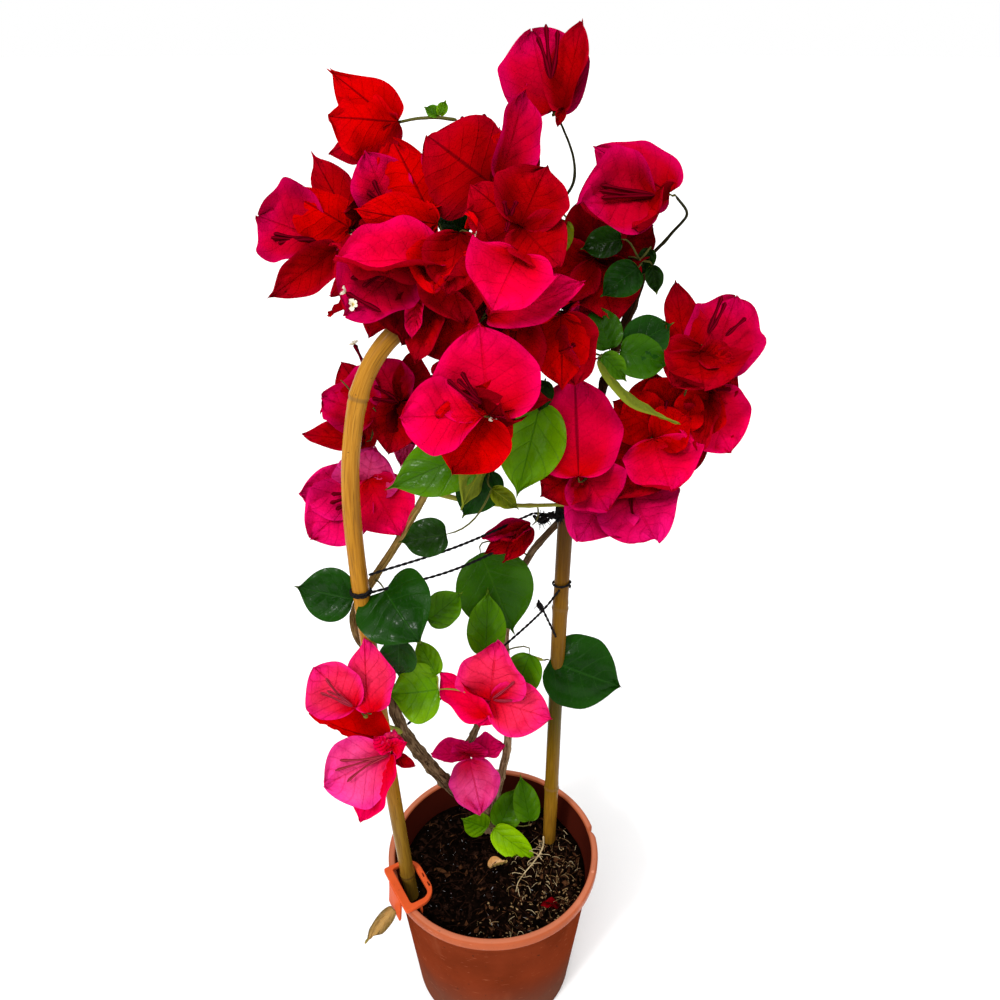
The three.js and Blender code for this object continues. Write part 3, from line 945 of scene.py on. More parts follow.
def d_outline(inner, outer, left, right, corner):
    """A plate that is straight outside and round inside."""
    soft_left = arc(outer - CLIP_SOFT, left + CLIP_SOFT, CLIP_SOFT, -90, 0, 3)
    soft_right = arc(outer - CLIP_SOFT, right - CLIP_SOFT, CLIP_SOFT, 0, 90, 3)
    round_right = arc(inner + corner, right - corner, corner, 90, 180, 7)
    round_left = arc(inner + corner, left + corner, corner, 180, 270, 7)
    return soft_left + soft_right + round_right + round_left


def slit_outline(across, along):
    w, n = SLIT_WIDTH / 2, SLIT_LENGTH / 2
    return [(across - w, along - n), (across + w, along - n), (across + w, along + n),
            (across - w, along + n)]


clip_outlines = [d_outline(**CLIP_PLATE), d_outline(**CLIP_HOLE)]
clip_outlines += [slit_outline(*slit) for slit in CLIP_SLITS]
print("clip outlines:", [len(outline) for outline in clip_outlines], "points")

# %% Parts of the clip
CLIP = dict(turn=210, thick=3, lift=0.4, bevel=0.55, soft_edge=0.35)
TONGUE = dict(inner=75.3, thick=1.8, left=-10, right=8, drop=18, flare=1.5)
TAB = dict(inner=64.4, thick=1.3, left=13, right=17.6, drop=7, flare=0)


def slab_mesh(name, outlines, thick, bevel):
    """A flat plate from closed outlines, the first outside and the rest as holes."""
    curve = bpy.data.curves.new(name, "CURVE")
    curve.dimensions, curve.fill_mode = "2D", "BOTH"
    curve.extrude, curve.bevel_depth, curve.bevel_resolution = (thick / 2 - bevel) * MM, bevel * MM, 2
    curve.offset = -bevel * MM
    for outline in outlines:
        spline = curve.splines.new("POLY")
        spline.points.add(len(outline) - 1)
        for point, (x, y) in zip(spline.points, outline):
            point.co = (x * MM, y * MM, 0, 1)
        spline.use_cyclic_u = True
    shaped = new_object(name, curve)
    mesh = finished_mesh(shaped)
    bpy.data.objects.remove(shaped)
    return mesh


def hook_mesh(inner, thick, left, right, drop, flare):
    """The strip that hangs from the plate, bent a little outward, as seen from the side."""
    t = np.linspace(0, 1, 9)
    middle = inner + thick / 2 + flare * t**1.6
    height = 1.5 - t * (drop + 1.5)
    half = thick / 2 * np.where(t > 0.93, 0.75, 1.0)
    outline = np.vstack([np.stack([middle + half, height], 1), np.stack([middle - half, height], 1)[::-1]])
    points = [(x * MM, side * MM, z * MM) for side in (left, right) for x, z in outline]
    count = len(outline)
    faces = [tuple(range(count))[::-1], tuple(range(count, 2 * count))]
    faces += [(k, (k + 1) % count, count + (k + 1) % count, count + k) for k in range(count)]
    mesh = bpy.data.meshes.new("hook")
    mesh.from_pydata(points, [], faces)
    return mesh


def make_clip():
    plate = slab_mesh("plate", clip_outlines, CLIP["thick"], CLIP["bevel"])
    plate.transform(Matrix.Translation((0, 0, CLIP["thick"] / 2 * MM)))
    ring = new_object("clip_ring", plate)
    hooks = [new_object("hook", hook_mesh(**measures)) for measures in (TONGUE, TAB)]
    for hook in hooks:
        soft = hook.modifiers.new("soft_edges", "BEVEL")
        soft.width, soft.segments, soft.limit_method = CLIP["soft_edge"] * MM, 2, "ANGLE"
        hook.data = finished_mesh(hook)
        hook.modifiers.clear()
    join_into(ring, [ring] + hooks)
    seat = Matrix.Translation((0, 0, (POT["height"] + CLIP["lift"]) * MM))
    ring.data.transform(seat @ Matrix.Rotation(math.radians(CLIP["turn"]), 4, "Z"))
    ring.data.materials.clear()
    ring.data.materials.append(clip_orange.material)
    ring.data.shade_smooth()
    ring.data.set_sharp_from_angle(angle=math.radians(35))
    settle(ring, "clip_plastic", "rim_clip")


make_clip()

# %% [markdown]
# ## The cane hoop
# One length of bamboo cane, bent hot into an arch and pushed into the mix on both sides. Real cane is never
# a plain tube: it swells at each node, carries a scar ring and a groove there, and has streaks along it.
# The rod follows the frame's own way points, so the stems and strings meet it where they should. Swelling,
# groove and slight flats are in the rings' radii. Streaks and stains are left to the finish, which reads a
# map that runs round the cane and along it in centimetres.

# %% Route of the hoop
CANE_RADIUS = 4.8
CANE_FRONT = (-58, -21)
CANE_SPREAD = 0.47
HOOP_WAY = [(-53.5, 63), (-58, 103), (-67.5, 263), (-73, 420), (-69.7, 459), (-61.8, 490), (-48.6, 509),
            (-30, 519.5), (-10, 523), (10, 518.5), (27, 507), (39, 489), (44.5, 464), (44.5, 400), (43, 297),
            (42, 103), (41.5, 63)]
CANE_NODES = [(-59.3, 126), (-64.5, 481), (-4, 522), (43.4, 318), (42.5, 158)]  # across and height


def hoop_place(across, height):
    """The hoop stands in one upright plane, turned a little from the front."""
    return np.array([across, CANE_FRONT[1] + CANE_SPREAD * (across - CANE_FRONT[0]), height])


def travel_to(across, height):
    """How far along the hoop a place on it is."""
    return hoop_travel[np.argmin(np.linalg.norm(hoop_route - hoop_place(across, height), axis=1))]


hoop_route = smooth_route([hoop_place(*way) for way in HOOP_WAY], 1.0)
hoop_travel = travel_along(hoop_route)
node_travel = [travel_to(*node) for node in CANE_NODES]
print("cane:", round(hoop_travel[-1]), "mm long, nodes at", [round(t) for t in node_travel])

# %% Cane finish
CANE_TONES = [  # distance along the cane in centimetres, then its colour there
    (0, (0.16, 0.092, 0.010)), (11, (0.24, 0.130, 0.014)), (16, (0.33, 0.140, 0.009)),
    (22, (0.40, 0.172, 0.010)), (30, (0.44, 0.192, 0.014)), (45, (0.54, 0.250, 0.028)),
    (46, (0.11, 0.055, 0.024)), (54, (0.26, 0.120, 0.014)), (66, (0.070, 0.030, 0.004)),
    (75, (0.19, 0.085, 0.005)), (82, (0.080, 0.058, 0.003)), (88, (0.20, 0.105, 0.006)),
    (93, (0.31, 0.152, 0.012)), (99, (0.17, 0.092, 0.012)),
]
FINE_SHADE, BROAD_SHADE = (0.66, 0.58, 0.46), (0.60, 0.50, 0.42)
LINE_TONE, FLECK_TONE, SCAR_TONE = (0.12, 0.055, 0.012), (0.05, 0.025, 0.01), (0.16, 0.085, 0.025)


def cane_finish():
    finish = Finish("cane", 0.25, 0.06)
    along = finish.split(finish.map("Grain"))[1]
    colour = CANE_TONES[0][1]
    for (start, _), (end, tone) in zip(CANE_TONES, CANE_TONES[1:]):
        colour = finish.layer(colour, tone, along, start, end)
    fine = finish.streaks(34, 0.5, detail=4, rough=0.6)
    colour = finish.layer(colour, FINE_SHADE, fine, 0.35, 0.75, 0.8, "MULTIPLY")
    colour = finish.layer(colour, BROAD_SHADE, finish.streaks(5, 0.13), 0.48, 0.70, 0.65, "MULTIPLY")
    colour = finish.layer(colour, LINE_TONE, finish.streaks(60, 0.35, detail=2), 0.58, 0.68, 0.75)
    colour = finish.layer(colour, FLECK_TONE, finish.streaks(14, 6, detail=2), 0.70, 0.75, 0.8)
    for travel in node_travel:
        off = finish.distance(along, travel / 10)
        colour = finish.mix(finish.mask(off, 0.05, 0.18, 0.5, 0.0), colour, SCAR_TONE)
    finish.colour(colour)
    finish.bump(fine, 0.12, 0.5)
    return finish


cane = cane_finish()
print("cane tones:", len(CANE_TONES))


# %% Bend the hoop
def hump(off, width):
    """A smooth bump round zero."""
    return np.exp(-((off / width) ** 2))


def bend_hoop():
    heap = Heap("bent_cane", "cane", [cane])
    sides = 28
    turn = round_angles(sides)
    flats = 1 + 0.012 * np.cos(2 * turn + 0.4) + 0.008 * np.cos(5 * turn)
    drift = 1 + 0.012 * np.sin(hoop_travel / 23) + 0.008 * np.sin(hoop_travel / 9)
    radius = CANE_RADIUS * drift[:, None] * flats
    for travel in node_travel:
        off = hoop_travel - travel
        node = 1 + (0.085 * hump(off, 4.5) + 0.05 * hump(off - 1.2, 0.9) - 0.08 * hump(off + 1.2, 0.8))
        ragged = 0.02 * hump(off - 1, 1)[:, None] * np.sin(3 * turn + travel)
        radius = radius * node[:, None] + CANE_RADIUS * ragged
    add_rod(heap, cane, hoop_route, radius, sides, round_ends=False)
    heap.build("hoop_leg_left", "hoop_bend_left", "hoop_bend_right", "hoop_leg_right")


bend_hoop()

# %% [markdown]
# ## Stems, trunk and boughs
# Two woody stems rise from one short trunk and are tied to the hoop. Old wood is grey-brown with long
# cracks, and swells where a leaf once sat. The newest branches are thin, smooth and green.
# Each limb is a rod on the frame's own route. Cracks are real relief: the radius of each ring point comes
# from a few slanted waves, folded so that they form ridges with narrow valleys between, like splitting
# bark.

# %% Limbs of the frame
LIMBS = {  # radius at its foot, radius at its tip, way
    "trunk": (6.2, 5.4, [[-4, 38.2, 97], [-4.5, 38, 106], [-8, 36.5, 122]]),
    "left_stem": (4.8, 2.6, [[-12.5, 35, 127], [-30, 24, 159.5], [-58, -8, 247.7], [-66, -16, 306],
                             [-79, -17.5, 329], [-78, -17.5, 350], [-67.5, -16.5, 367],
                             [-49.6, -12, 394.7], [-40.3, -8, 410.3]]),
    "left_bough": (2.7, 2.3, [[-42, -9, 407], [-32.5, -2, 424], [-22, 6, 452], [-10, 10, 490]]),
    "right_stem": (3.1, 2.1, [[-2.5, 36.5, 108], [2.5, 38, 138], [9.9, 39, 186], [9, 39, 238], [9, 40, 289],
                              [14, 40, 323], [24, 41, 348], [48, 41, 381]]),
    "right_bough": (2.6, 2.5, [[48.1, 41, 381.4], [56.7, 40, 428.7], [66.2, 36, 476.5], [77.8, 27, 525],
                               [79.2, 25, 536]]),
    "middle_stem": (2.7, 2.2, [[-15, 34, 132], [-18.5, 34, 162], [-18, 31.5, 193], [-11, 28.5, 214],
                               [-4.6, 26, 258], [-5.4, 24, 300]]),
    "green_branch": (1.6, 1, [[-33, -8.5, 420], [-12, -2, 410.5], [16, 7, 402.6], [43, 16, 398.5],
                              [63.6, 19, 395]]),
    "low_left_branch": (1.8, 1.2, [[-58.5, -11, 247], [-64, -24, 264], [-75, -40, 288]]),
    "low_right_branch": (1.5, 1, [[13.2, 37.6, 262], [22, 26, 279], [33, 20, 280]]),
    "right_top_branch": (1.0, 0.6, [[79.3, 24.8, 536], [88, 10, 553], [93, 0, 564], [86, -4, 573]]),
    "top_branch": (0.85, 0.5, [[26, 14, 558], [40, 14, 576], [38, 13, 592], [31, 12, 606]]),
    "upper_left_branch": (0.8, 0.55, [[-14, -14, 606], [-27.7, -13, 606.7], [-39.2, -9, 604.6],
                                      [-47, -8, 604]]),
}
WOODY = ["trunk", "left_stem", "left_bough", "right_stem", "right_bough", "middle_stem"]
GREEN = [name for name in LIMBS if name not in WOODY]
print("limbs:", len(WOODY), "of old wood and", len(GREEN), "green ones")

# %% Bark finishes
# dark, light and crack colours of old bark
GREY_BARK = ((0.066, 0.036, 0.018), (0.225, 0.142, 0.076), (0.014, 0.006, 0.003))
TAN_BARK = ((0.150, 0.090, 0.020), (0.33, 0.210, 0.065), (0.045, 0.024, 0.006))
PALE_BARK = ((0.17, 0.100, 0.048), (0.50, 0.34, 0.200), (0.036, 0.017, 0.006))
DARK_BARK = ((0.016, 0.006, 0.003), (0.060, 0.026, 0.012), (0.005, 0.002, 0.001))


def bark_finish(name, low, high, change):
    """low and high are two barks; change is the heights between which one gives way to the other."""
    finish = Finish(name, 0.85, 0.0)
    place = finish.place()
    share = finish.mask(finish.split(place)[2], change[0] * MM, change[1] * MM)
    dark, light, crack = [finish.mix(share, one, other) for one, other in zip(low, high)]
    lines = finish.streaks(30, 0.7)
    colour = finish.layer(dark, light, finish.streaks(9, 0.9, detail=5, rough=0.65), 0.32, 0.68)
    colour = finish.layer(colour, dark, finish.noise(place, 90), 0.45, 0.7, 0.6)
    colour = finish.layer(colour, crack, lines, 0.52, 0.61, 0.85)
    finish.colour(finish.layer(colour, light, finish.streaks(14, 3, detail=1), 0.68, 0.73, 0.7))
    finish.bump(lines, 0.4, 0.8)
    return finish


left_bark = bark_finish("left_bark", GREY_BARK, TAN_BARK, (300, 375))
right_bark = bark_finish("right_bark", PALE_BARK, DARK_BARK, (300, 400))
print("bark finishes:", left_bark.material.name, right_bark.material.name)


# %% Finishes of young wood
def green_finish(name, base, tint, roughness=0.5):
    finish = Finish(name, roughness, 0.02)
    grain = finish.streaks(6, 0.8)
    finish.colour(finish.layer(base, tint, grain, 0.3, 0.7))
    finish.bump(grain, 0.1, 0.4)
    return finish


green_wood = green_finish("green_wood", (0.16, 0.20, 0.018), (0.30, 0.27, 0.05))
dark_twig = green_finish("dark_twig", (0.012, 0.013, 0.006), (0.035, 0.032, 0.012))
brown_twig = green_finish("brown_twig", (0.10, 0.055, 0.02), (0.21, 0.13, 0.05), 0.7)
olive_twig = green_finish("olive_twig", (0.055, 0.06, 0.012), (0.11, 0.10, 0.025))
FINISH_OF = dict(trunk=right_bark, right_stem=right_bark, right_bough=right_bark, top_branch=dark_twig,
                 right_top_branch=dark_twig, upper_left_branch=olive_twig)
print("limbs with a finish of their own:", len(FINISH_OF))

# %% Relief of old wood
BARK_DEPTH, BARK_RIDGES = 0.07, 7


def bark_relief(route, sides, seed):
    """Factor for each ring point: ridges along the limb with narrow cracks between, and small swellings."""
    draw = np.random.default_rng(seed)
    travel = travel_along(route)[:, None]
    turn = round_angles(sides)[None, :]
    relief = np.zeros((len(route), sides))
    for k in range(4):
        around = BARK_RIDGES + k * 2
        slant, phase = draw.uniform(-0.07, 0.07), draw.uniform(0, 6.28)
        sway = 1.2 * np.sin(travel * draw.uniform(0.03, 0.12) + phase)
        relief += (np.abs(np.sin(0.5 * (around * turn + slant * travel + sway + phase))) - 0.64) / (k + 1)
    lumps = sum(np.sin(travel * draw.uniform(0.08, 0.4) + draw.uniform(0, 6.28)) for _ in range(4)) / 5
    bumpy = draw.normal(0, 0.25, relief.shape) * BARK_DEPTH
    return 1 + BARK_DEPTH * relief + 0.045 * lumps + bumpy


def old_leaf_sites(route, every, seed):
    """Swollen nodes at uneven distances, as one factor a ring."""
    draw = np.random.default_rng(seed)
    travel = travel_along(route)
    factor = np.ones(len(route))
    place = draw.uniform(0.4, 1) * every
    while place < travel[-1] - 6:
        factor += draw.uniform(0.10, 0.22) * hump(travel - place, draw.uniform(1.8, 3.4))
        place += draw.uniform(0.7, 1.3) * every
    return factor


def sway_of(draw, steps, size):
    """A slow wander that is nothing at both ends."""
    knots = draw.normal(0, 1, (steps // 10 + 4, 3))
    at = np.linspace(0, len(knots) - 1, steps)
    wander = np.stack([np.interp(at, np.arange(len(knots)), knots[:, k]) for k in range(3)], 1)
    return wander * size * np.sin(np.linspace(0, math.pi, steps))[:, None]


print("bark: ridges", BARK_DEPTH, "of the radius deep")

# %% Raise the limbs
limb_draw = np.random.default_rng(5)
limb_routes = {}
wood_heap = Heap("bark_stems", "bark", [left_bark, right_bark])
fresh_heap = Heap("green_branches", "green_stem", [green_wood, dark_twig, olive_twig])


def raise_old_limb(name, route, radius, number):
    if name == "trunk":
        radius = radius * (1 + 0.35 * np.exp(-(route[:, 2] - SOIL_TOP) / 5))  # it widens toward the mix
    sides = 26 if LIMBS[name][0] > 3 else 18
    radius = radius * old_leaf_sites(route, 24, number + 40)
    if "left" in name:
        radius = radius * np.interp(route[:, 2], [250, 340], [1.0, 0.8])
    table = radius[:, None] * bark_relief(route, sides, number)
    above = route[:, 2] > SOIL_TOP - 4
    add_rod(wood_heap, FINISH_OF.get(name, left_bark), route[above], table[above], sides)


def raise_green_limb(name, route, radius, number):
    radius = radius * old_leaf_sites(route, 30, number + 40)
    add_rod(fresh_heap, FINISH_OF.get(name, green_wood), route, radius, 10)


for number, (name, (foot, tip, way)) in enumerate(LIMBS.items()):
    woody = name in WOODY
    route = smooth_route(way, 0.8 if woody else 1.5)
    route = route + sway_of(limb_draw, len(route), 0.35 if woody else 0.25)
    radius = np.linspace(foot, tip, len(route))
    limb_routes[name] = (route, radius)
    raise_limb = raise_old_limb if woody else raise_green_limb
    raise_limb(name, route, radius, number)
print("limbs raised:", len(limb_routes))

# %% [markdown]
# ## Twigs that carry the blooms
# Every bloom and every leaf hangs from wood that can be traced back to the pot. From the limb nearest to
# each mass a twig runs into it, with a few side twigs, and each new twig may carry the next one. Bracts and
# leaves then take the nearest twig, so nothing hangs in the air.
# A seeded rule draws the bends, so the plant grows the same way each time.

# %% Nearest wood
MASSES = sorted(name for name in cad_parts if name.startswith(("bloom_", "leaf_")))
CROWN_AXIS = np.array([8.0, 12.0, 0.0])


def from_axis(centre, below):
    """Away from the plant's axis, from a point on it that is some way below the centre."""
    return unit(centre - CROWN_AXIS - [0, 0, centre[2] - below])


def nearest_wood(place):
    """The place on a limb or twig that is easiest to grow from, the way that wood runs, and its radius."""
    best = None
    for route, radius in limb_routes.values():
        reach = np.linalg.norm(route - place, axis=1)
        above = np.maximum(0, route[:, 2] - place[2] + 4)  # twigs rather rise than hang
        cost = reach + 0.35 * above + 3 * (route[:, 2] < SOIL_TOP + 12)
        k = int(np.argmin(cost))
        if best is None or cost[k] < best[0]:
            ahead = unit(route[min(k + 1, len(route) - 1)] - route[max(k - 1, 0)])
            best = (cost[k], route[k], ahead, radius[min(k, len(radius) - 1)])
    return best[1:]


print("masses to fill:", len(MASSES))

# %% Grow the twigs
FULL = [  # masses deep enough for twigs
    "bloom_crown_front", "bloom_centre", "bloom_centre_low", "bloom_left_high", "bloom_left_low",
    "bloom_big_front", "bloom_dark_right", "bloom_right_red", "bloom_right_mid", "bloom_left_mid",
    "leaf_core", "bloom_back_left", "bloom_back_low", "bloom_back_right", "bloom_back_top",
]
LARGE_MASS = 24  # mean half-size, from which a mass gets more and stouter twigs
twig_heap = Heap("twigs", "green_stem", [green_wood, dark_twig, brown_twig, olive_twig])
twig_draw = np.random.default_rng(23)


def grow_twig(name, end, arrive, finish, thick, steps):
    start, ahead, girth = nearest_wood(end)
    out = unit(end - start) + 0.6 * ahead + twig_draw.normal(0, 0.25, 3)
    route = arm(start, out, end, arrive, steps)
    bends = twig_draw.normal(0, 0.012 * np.linalg.norm(end - start), (len(route), 3))
    bends[[0, -1]] = 0
    route = smooth_route((route + bends)[::2], 2.5)
    thick = min(thick, girth * 0.9)
    radius = np.linspace(thick, thick * 0.6, len(route))
    add_rod(twig_heap, finish, route, radius, 8)
    limb_routes[name] = (route, radius)


def branch_out(node):
    """One twig into a mass, and side twigs from it."""
    centre, half = centre_of(node) - 6 * TOWARD, half_size(node)
    large = half.mean() > LARGE_MASS
    finish = dark_twig
    if large and twig_draw.uniform() < 0.5:
        finish = brown_twig
    elif twig_draw.uniform() < 0.5:
        finish = olive_twig
    grow_twig(node, centre, from_axis(centre, 20), finish, 1.25 if large else 0.8, 14)
    for k in range(4 if large else 1):
        away = unit(twig_draw.normal(size=3) + [0, 0.9, 0.1])
        end = centre + away * half * twig_draw.uniform(0.45, 0.75)
        grow_twig(f"{node}_{k}", end, away, finish, 0.6, 8)


def way_to_wood(node):
    return np.linalg.norm(centre_of(node) - nearest_wood(centre_of(node))[0])


for node in sorted(FULL, key=way_to_wood):
    branch_out(node)
print("wood to grow from:", len(limb_routes), "limbs and twigs")

# %% [markdown]
# ## Strings
# Black garden twine holds the stems to the hoop. It is a twisted cord about a millimetre thick, looped
# round the cane and pulled over to the other leg. Two strands wound round each other give the twist in the
# mesh itself, where a bump on one tube would stay smooth in outline. Frayed ends are short thin hairs.

# %% Twine
TWINE = 0.85  # thickness of the cord
twine = Finish("black_twine", 0.85, 0.0)
twine_grain = twine.noise(twine.place(), 900)
twine.colour(twine.mix(twine_grain, (0.004, 0.004, 0.005), (0.022, 0.02, 0.02)))
string_heap = Heap("string_ties", "tie_string", [twine])


def add_twine(points, thick=TWINE):
    """Two strands wound round a common line."""
    route = smooth_route(points, 0.9)
    one, two = ring_frames(route)
    turn = np.arange(len(route)) * 0.75
    for half_turn in (0, math.pi):
        swing = np.cos(turn + half_turn)[:, None] * one + np.sin(turn + half_turn)[:, None] * two
        add_rod(string_heap, twine, route + swing * thick * 0.42, thick * 0.6, 6)


print("twine:", TWINE, "mm thick")

# %% Strings, loops and knots
TIES = {
    "tie_high": [[-66.6, -31, 380.8], [-20, -9, 385], [24.6, 21.6, 389.5]],
    "tie_middle": [[-66.4, -31.4, 369.5], [-22, -13, 372], [22.8, 19, 376]],
    "tie_low": [[-54, -12, 254.5], [-26.7, -5, 275.8], [30, 18.6, 318.7], [42, 21.6, 334.5]],
}
TIE_SHORT = [[28.7, 22, 326.5], [35, 21.4, 312], [40.8, 21, 298]]
TIE_LINK = [[24.6, 21.6, 389.5], [34, 22, 388.5], [41, 21.5, 389]]
LOOPS = [  # height on a leg of the hoop, whether it is the right leg, turns, how far they spread
    (368, False, 2, 3), (254, False, 2, 4), (388, True, 4, 6), (335, True, 1, 6),
]
KNOTS = [  # place, size, frayed hairs
    ((30, 20, 387), 3.4, 30), ((34.5, 19.5, 389), 2.2, 12), ((39.5, 17, 389.5), 2.8, 14),
    ((30, 20.5, 323), 1.8, 12),
]


def add_loops(height, right_leg, turns, spread):
    leg = hoop_route[(hoop_route[:, 0] > 0) == right_leg]
    centre = leg[np.argmin(np.abs(leg[:, 2] - height))]
    t = np.linspace(0, 1, 18 * turns)
    a = t * 2 * math.pi * turns
    reach = CANE_RADIUS + 0.8 + 0.2 * np.sin(a * 1.7)
    rise = (t - 0.5) * spread + 0.5 * np.sin(a * 0.6)
    add_twine(centre + np.stack([np.cos(a) * reach, np.sin(a) * reach, rise], 1))


def add_knot(place, size, hairs, draw):
    for _ in range(9):
        a, b = unit(draw.normal(size=3)), unit(draw.normal(size=3))
        middle = place + draw.normal(0, 0.35, 3) * size
        t = np.linspace(0, 2 * math.pi, 14)[:, None]
        ring = a * np.cos(t) + np.cross(a, b) * np.sin(t)
        add_twine(middle + ring * size * draw.uniform(0.35, 0.8), 0.8)
    for _ in range(hairs):
        end = place + unit(draw.normal(size=3) + [0, 0, -0.5]) * size * draw.uniform(1.1, 2.2)
        hair = arm(place, draw.normal(size=3), end, draw.normal(size=3), 6)
        add_rod(string_heap, twine, hair, 0.22, 4)


knot_draw = np.random.default_rng(3)
for points in [*TIES.values(), TIE_SHORT, TIE_LINK]:
    add_twine(points)
for loop in LOOPS:
    add_loops(*loop)
for place, size, hairs in KNOTS:
    add_knot(np.array(place), size, hairs, knot_draw)
string_heap.build(*TIES, sharp=60)

# %% [markdown]
# ## Finishes of bracts and leaves
# What looks like a petal is a bract, a papery leaf with a net of veins. It is darkest where it joins the
# stalk, and its colour runs to pink at the margin. A leaf is thicker and shinier with a pale midrib.
# Each blade carries its own map, across and along, so the graph can draw midrib, side veins and the net in
# the right place on every blade, and follow the quilting of the mesh exactly.

# %% Plain colours
LIT = 0.86  # under these suns a lit face looks brighter than its own colour


def paint(red, green, blue):
    """A colour as seen on a screen, 0 to 255, turned into the light values that a shader wants."""
    linear = [((v / 255 + 0.055) / 1.055) ** 2.4 if v > 10 else v / 255 / 12.92 for v in (red, green, blue)]
    return tuple(LIT * v for v in linear)


BRACT_TONES = {  # at the base, in the middle, at the margin, and of the veins
    "magenta": ((160, 0, 4), (196, 0, 40), (212, 2, 88), (150, 0, 30)),
    "fuchsia": ((196, 0, 36), (228, 6, 86), (240, 16, 116), (184, 0, 62)),
    "crimson": ((112, 0, 2), (172, 0, 6), (182, 0, 30), (118, 0, 4)),
    "red": ((156, 0, 0), (204, 0, 0), (214, 0, 10), (150, 0, 0)),
    "pink": ((206, 0, 8), (236, 0, 56), (248, 2, 96), (196, 0, 34)),
    "coral": ((212, 0, 16), (252, 46, 90), (250, 26, 130), (208, 6, 48)),
    "rose": ((224, 12, 62), (255, 76, 146), (248, 48, 154), (224, 24, 104)),
    # wine is painted shade: a very dark crimson for bracts set deep in blooms and behind others, where shade
    # falls. It also colours the outer side of crimson bracts and the fallen bract on the mix.
    "wine": ((46, 0, 2), (104, 0, 4), (128, 0, 14), (60, 0, 2)),
}
BACK_OF = {"magenta": "crimson", "fuchsia": "magenta", "pink": "crimson", "coral": "magenta",
           "rose": "fuchsia", "crimson": "wine", "red": "crimson", "wine": "wine"}  # tone of the outer side
LEAF_TONES = {  # in the middle, at the margin, of the veins
    "dark": ((14, 52, 2), (24, 68, 6), (28, 72, 8)),
    "deep": ((38, 82, 0), (52, 98, 2), (50, 94, 6)),
    "mid": ((58, 104, 0), (80, 128, 2), (44, 84, 0)),
    "bright": ((88, 138, 0), (112, 160, 4), (60, 108, 0)),
    "lime": ((122, 172, 0), (152, 204, 6), (84, 134, 0)),
    "olive": ((84, 98, 0), (118, 128, 10), (146, 146, 36)),
    "shade": ((14, 40, 0), (22, 56, 2), (32, 62, 6)),
    "dry": ((176, 136, 74), (98, 78, 36), (196, 158, 100)),
    "tan": ((232, 184, 128), (196, 140, 80), (176, 124, 72)),
}
print("tones:", len(BRACT_TONES), "of bracts and", len(LEAF_TONES), "of leaves")

# %% Marks that every blade has
BRACT_VEINS, LEAF_VEINS = 6, 5
BRACT_NET, LEAF_NET = 13, 16


def blade_marks(finish, veins, net_scale):
    """Places and masks on a blade's own map: across and along, then side veins, midrib and net."""
    blade = finish.map("Blade")
    u, v, _ = finish.split(blade)
    across = finish.maths("ABSOLUTE", finish.maths("MULTIPLY_ADD", u, 2.0, -1.0))
    lane = finish.maths("SUBTRACT", v, finish.times(across, VEIN_SWEEP))
    wave = finish.maths("ABSOLUTE", finish.maths("SINE", finish.times(lane, math.pi * veins)))
    cells = finish.cells(finish.place((1.0, 1.2, 1.0), blade), net_scale)
    return SimpleNamespace(
        blade=blade,
        across=across,
        along=v,
        side=finish.mask(wave, 0.03, 0.26, 1.0, 0.0),
        midrib=finish.mask(across, 0.008, 0.045, 1.0, 0.0),
        net=finish.mask(cells, 0.015, 0.07, 1.0, 0.0),
    )


print("veins on each side:", BRACT_VEINS, "on a bract,", LEAF_VEINS, "on a leaf")

# %% Bract finishes
# Painted shade: a dark line in the midrib crease on the outer side of the darker bracts.
CREASE_SHADE = (0.030, 0.0, 0.002)
VEIN_CONTRAST = {"coral": 1.4, "rose": 1.4, "fuchsia": 1.1}  # the pale blooms show their veins most
PLAIN_CONTRAST = 0.5


def bract_finish(tone, outer):
    base, middle, edge, vein = [paint(*colour) for colour in BRACT_TONES[tone]]
    contrast = VEIN_CONTRAST.get(tone, PLAIN_CONTRAST)
    pale = contrast > 1
    finish = Finish(f"bract_{tone}_{'outer' if outer else 'inner'}", 0.6, 0.0)
    marks = blade_marks(finish, BRACT_VEINS, BRACT_NET)
    cloud = finish.noise(marks.blade, 2.6)
    rim = finish.maths("MAXIMUM", finish.times(marks.across, 0.95), marks.along)
    colour = finish.layer(base, middle, marks.along, 0.06, 0.52)
    colour = finish.layer(colour, edge, finish.maths("ADD", rim, finish.times(cloud, 0.35)), 0.72, 1.25)
    # The cloud lays blotches of vein colour: partly the bract's own uneven tone, partly painted shade
    # standing in for the shading of its crumples.
    colour = finish.layer(colour, vein, cloud, 0.45, 0.72, 0.5)
    colour = finish.mix(finish.times(marks.net, 0.12 * contrast), colour, vein)
    colour = finish.mix(finish.times(marks.side, 0.22 * contrast), colour, vein)
    # The outer side of a darker bract gets the painted shade of its midrib crease.
    midrib_tone = CREASE_SHADE if outer and not pale else base
    finish.colour(finish.mix(finish.times(marks.midrib, 0.6 if outer else 0.3), colour, midrib_tone))
    raised = 1.0 if outer else -1.0
    crease = finish.noise(marks.blade, 7, detail=4, rough=0.6)
    relief = finish.weigh((marks.side, 0.55 * raised), (marks.net, 0.25 * raised),
                          (marks.midrib, 1.1 * raised), (crease, 1.8))
    finish.bump(relief, 0.75 if pale else 0.55, 0.75)
    return finish


bract_inner = {tone: bract_finish(tone, False) for tone in BRACT_TONES}
bract_outer = {tone: bract_finish(tone, True) for tone in BRACT_TONES}
print("bract finishes:", len(bract_inner) + len(bract_outer))

# %% Leaf finishes
UNDERSIDE_TINT = (126, 138, 56)


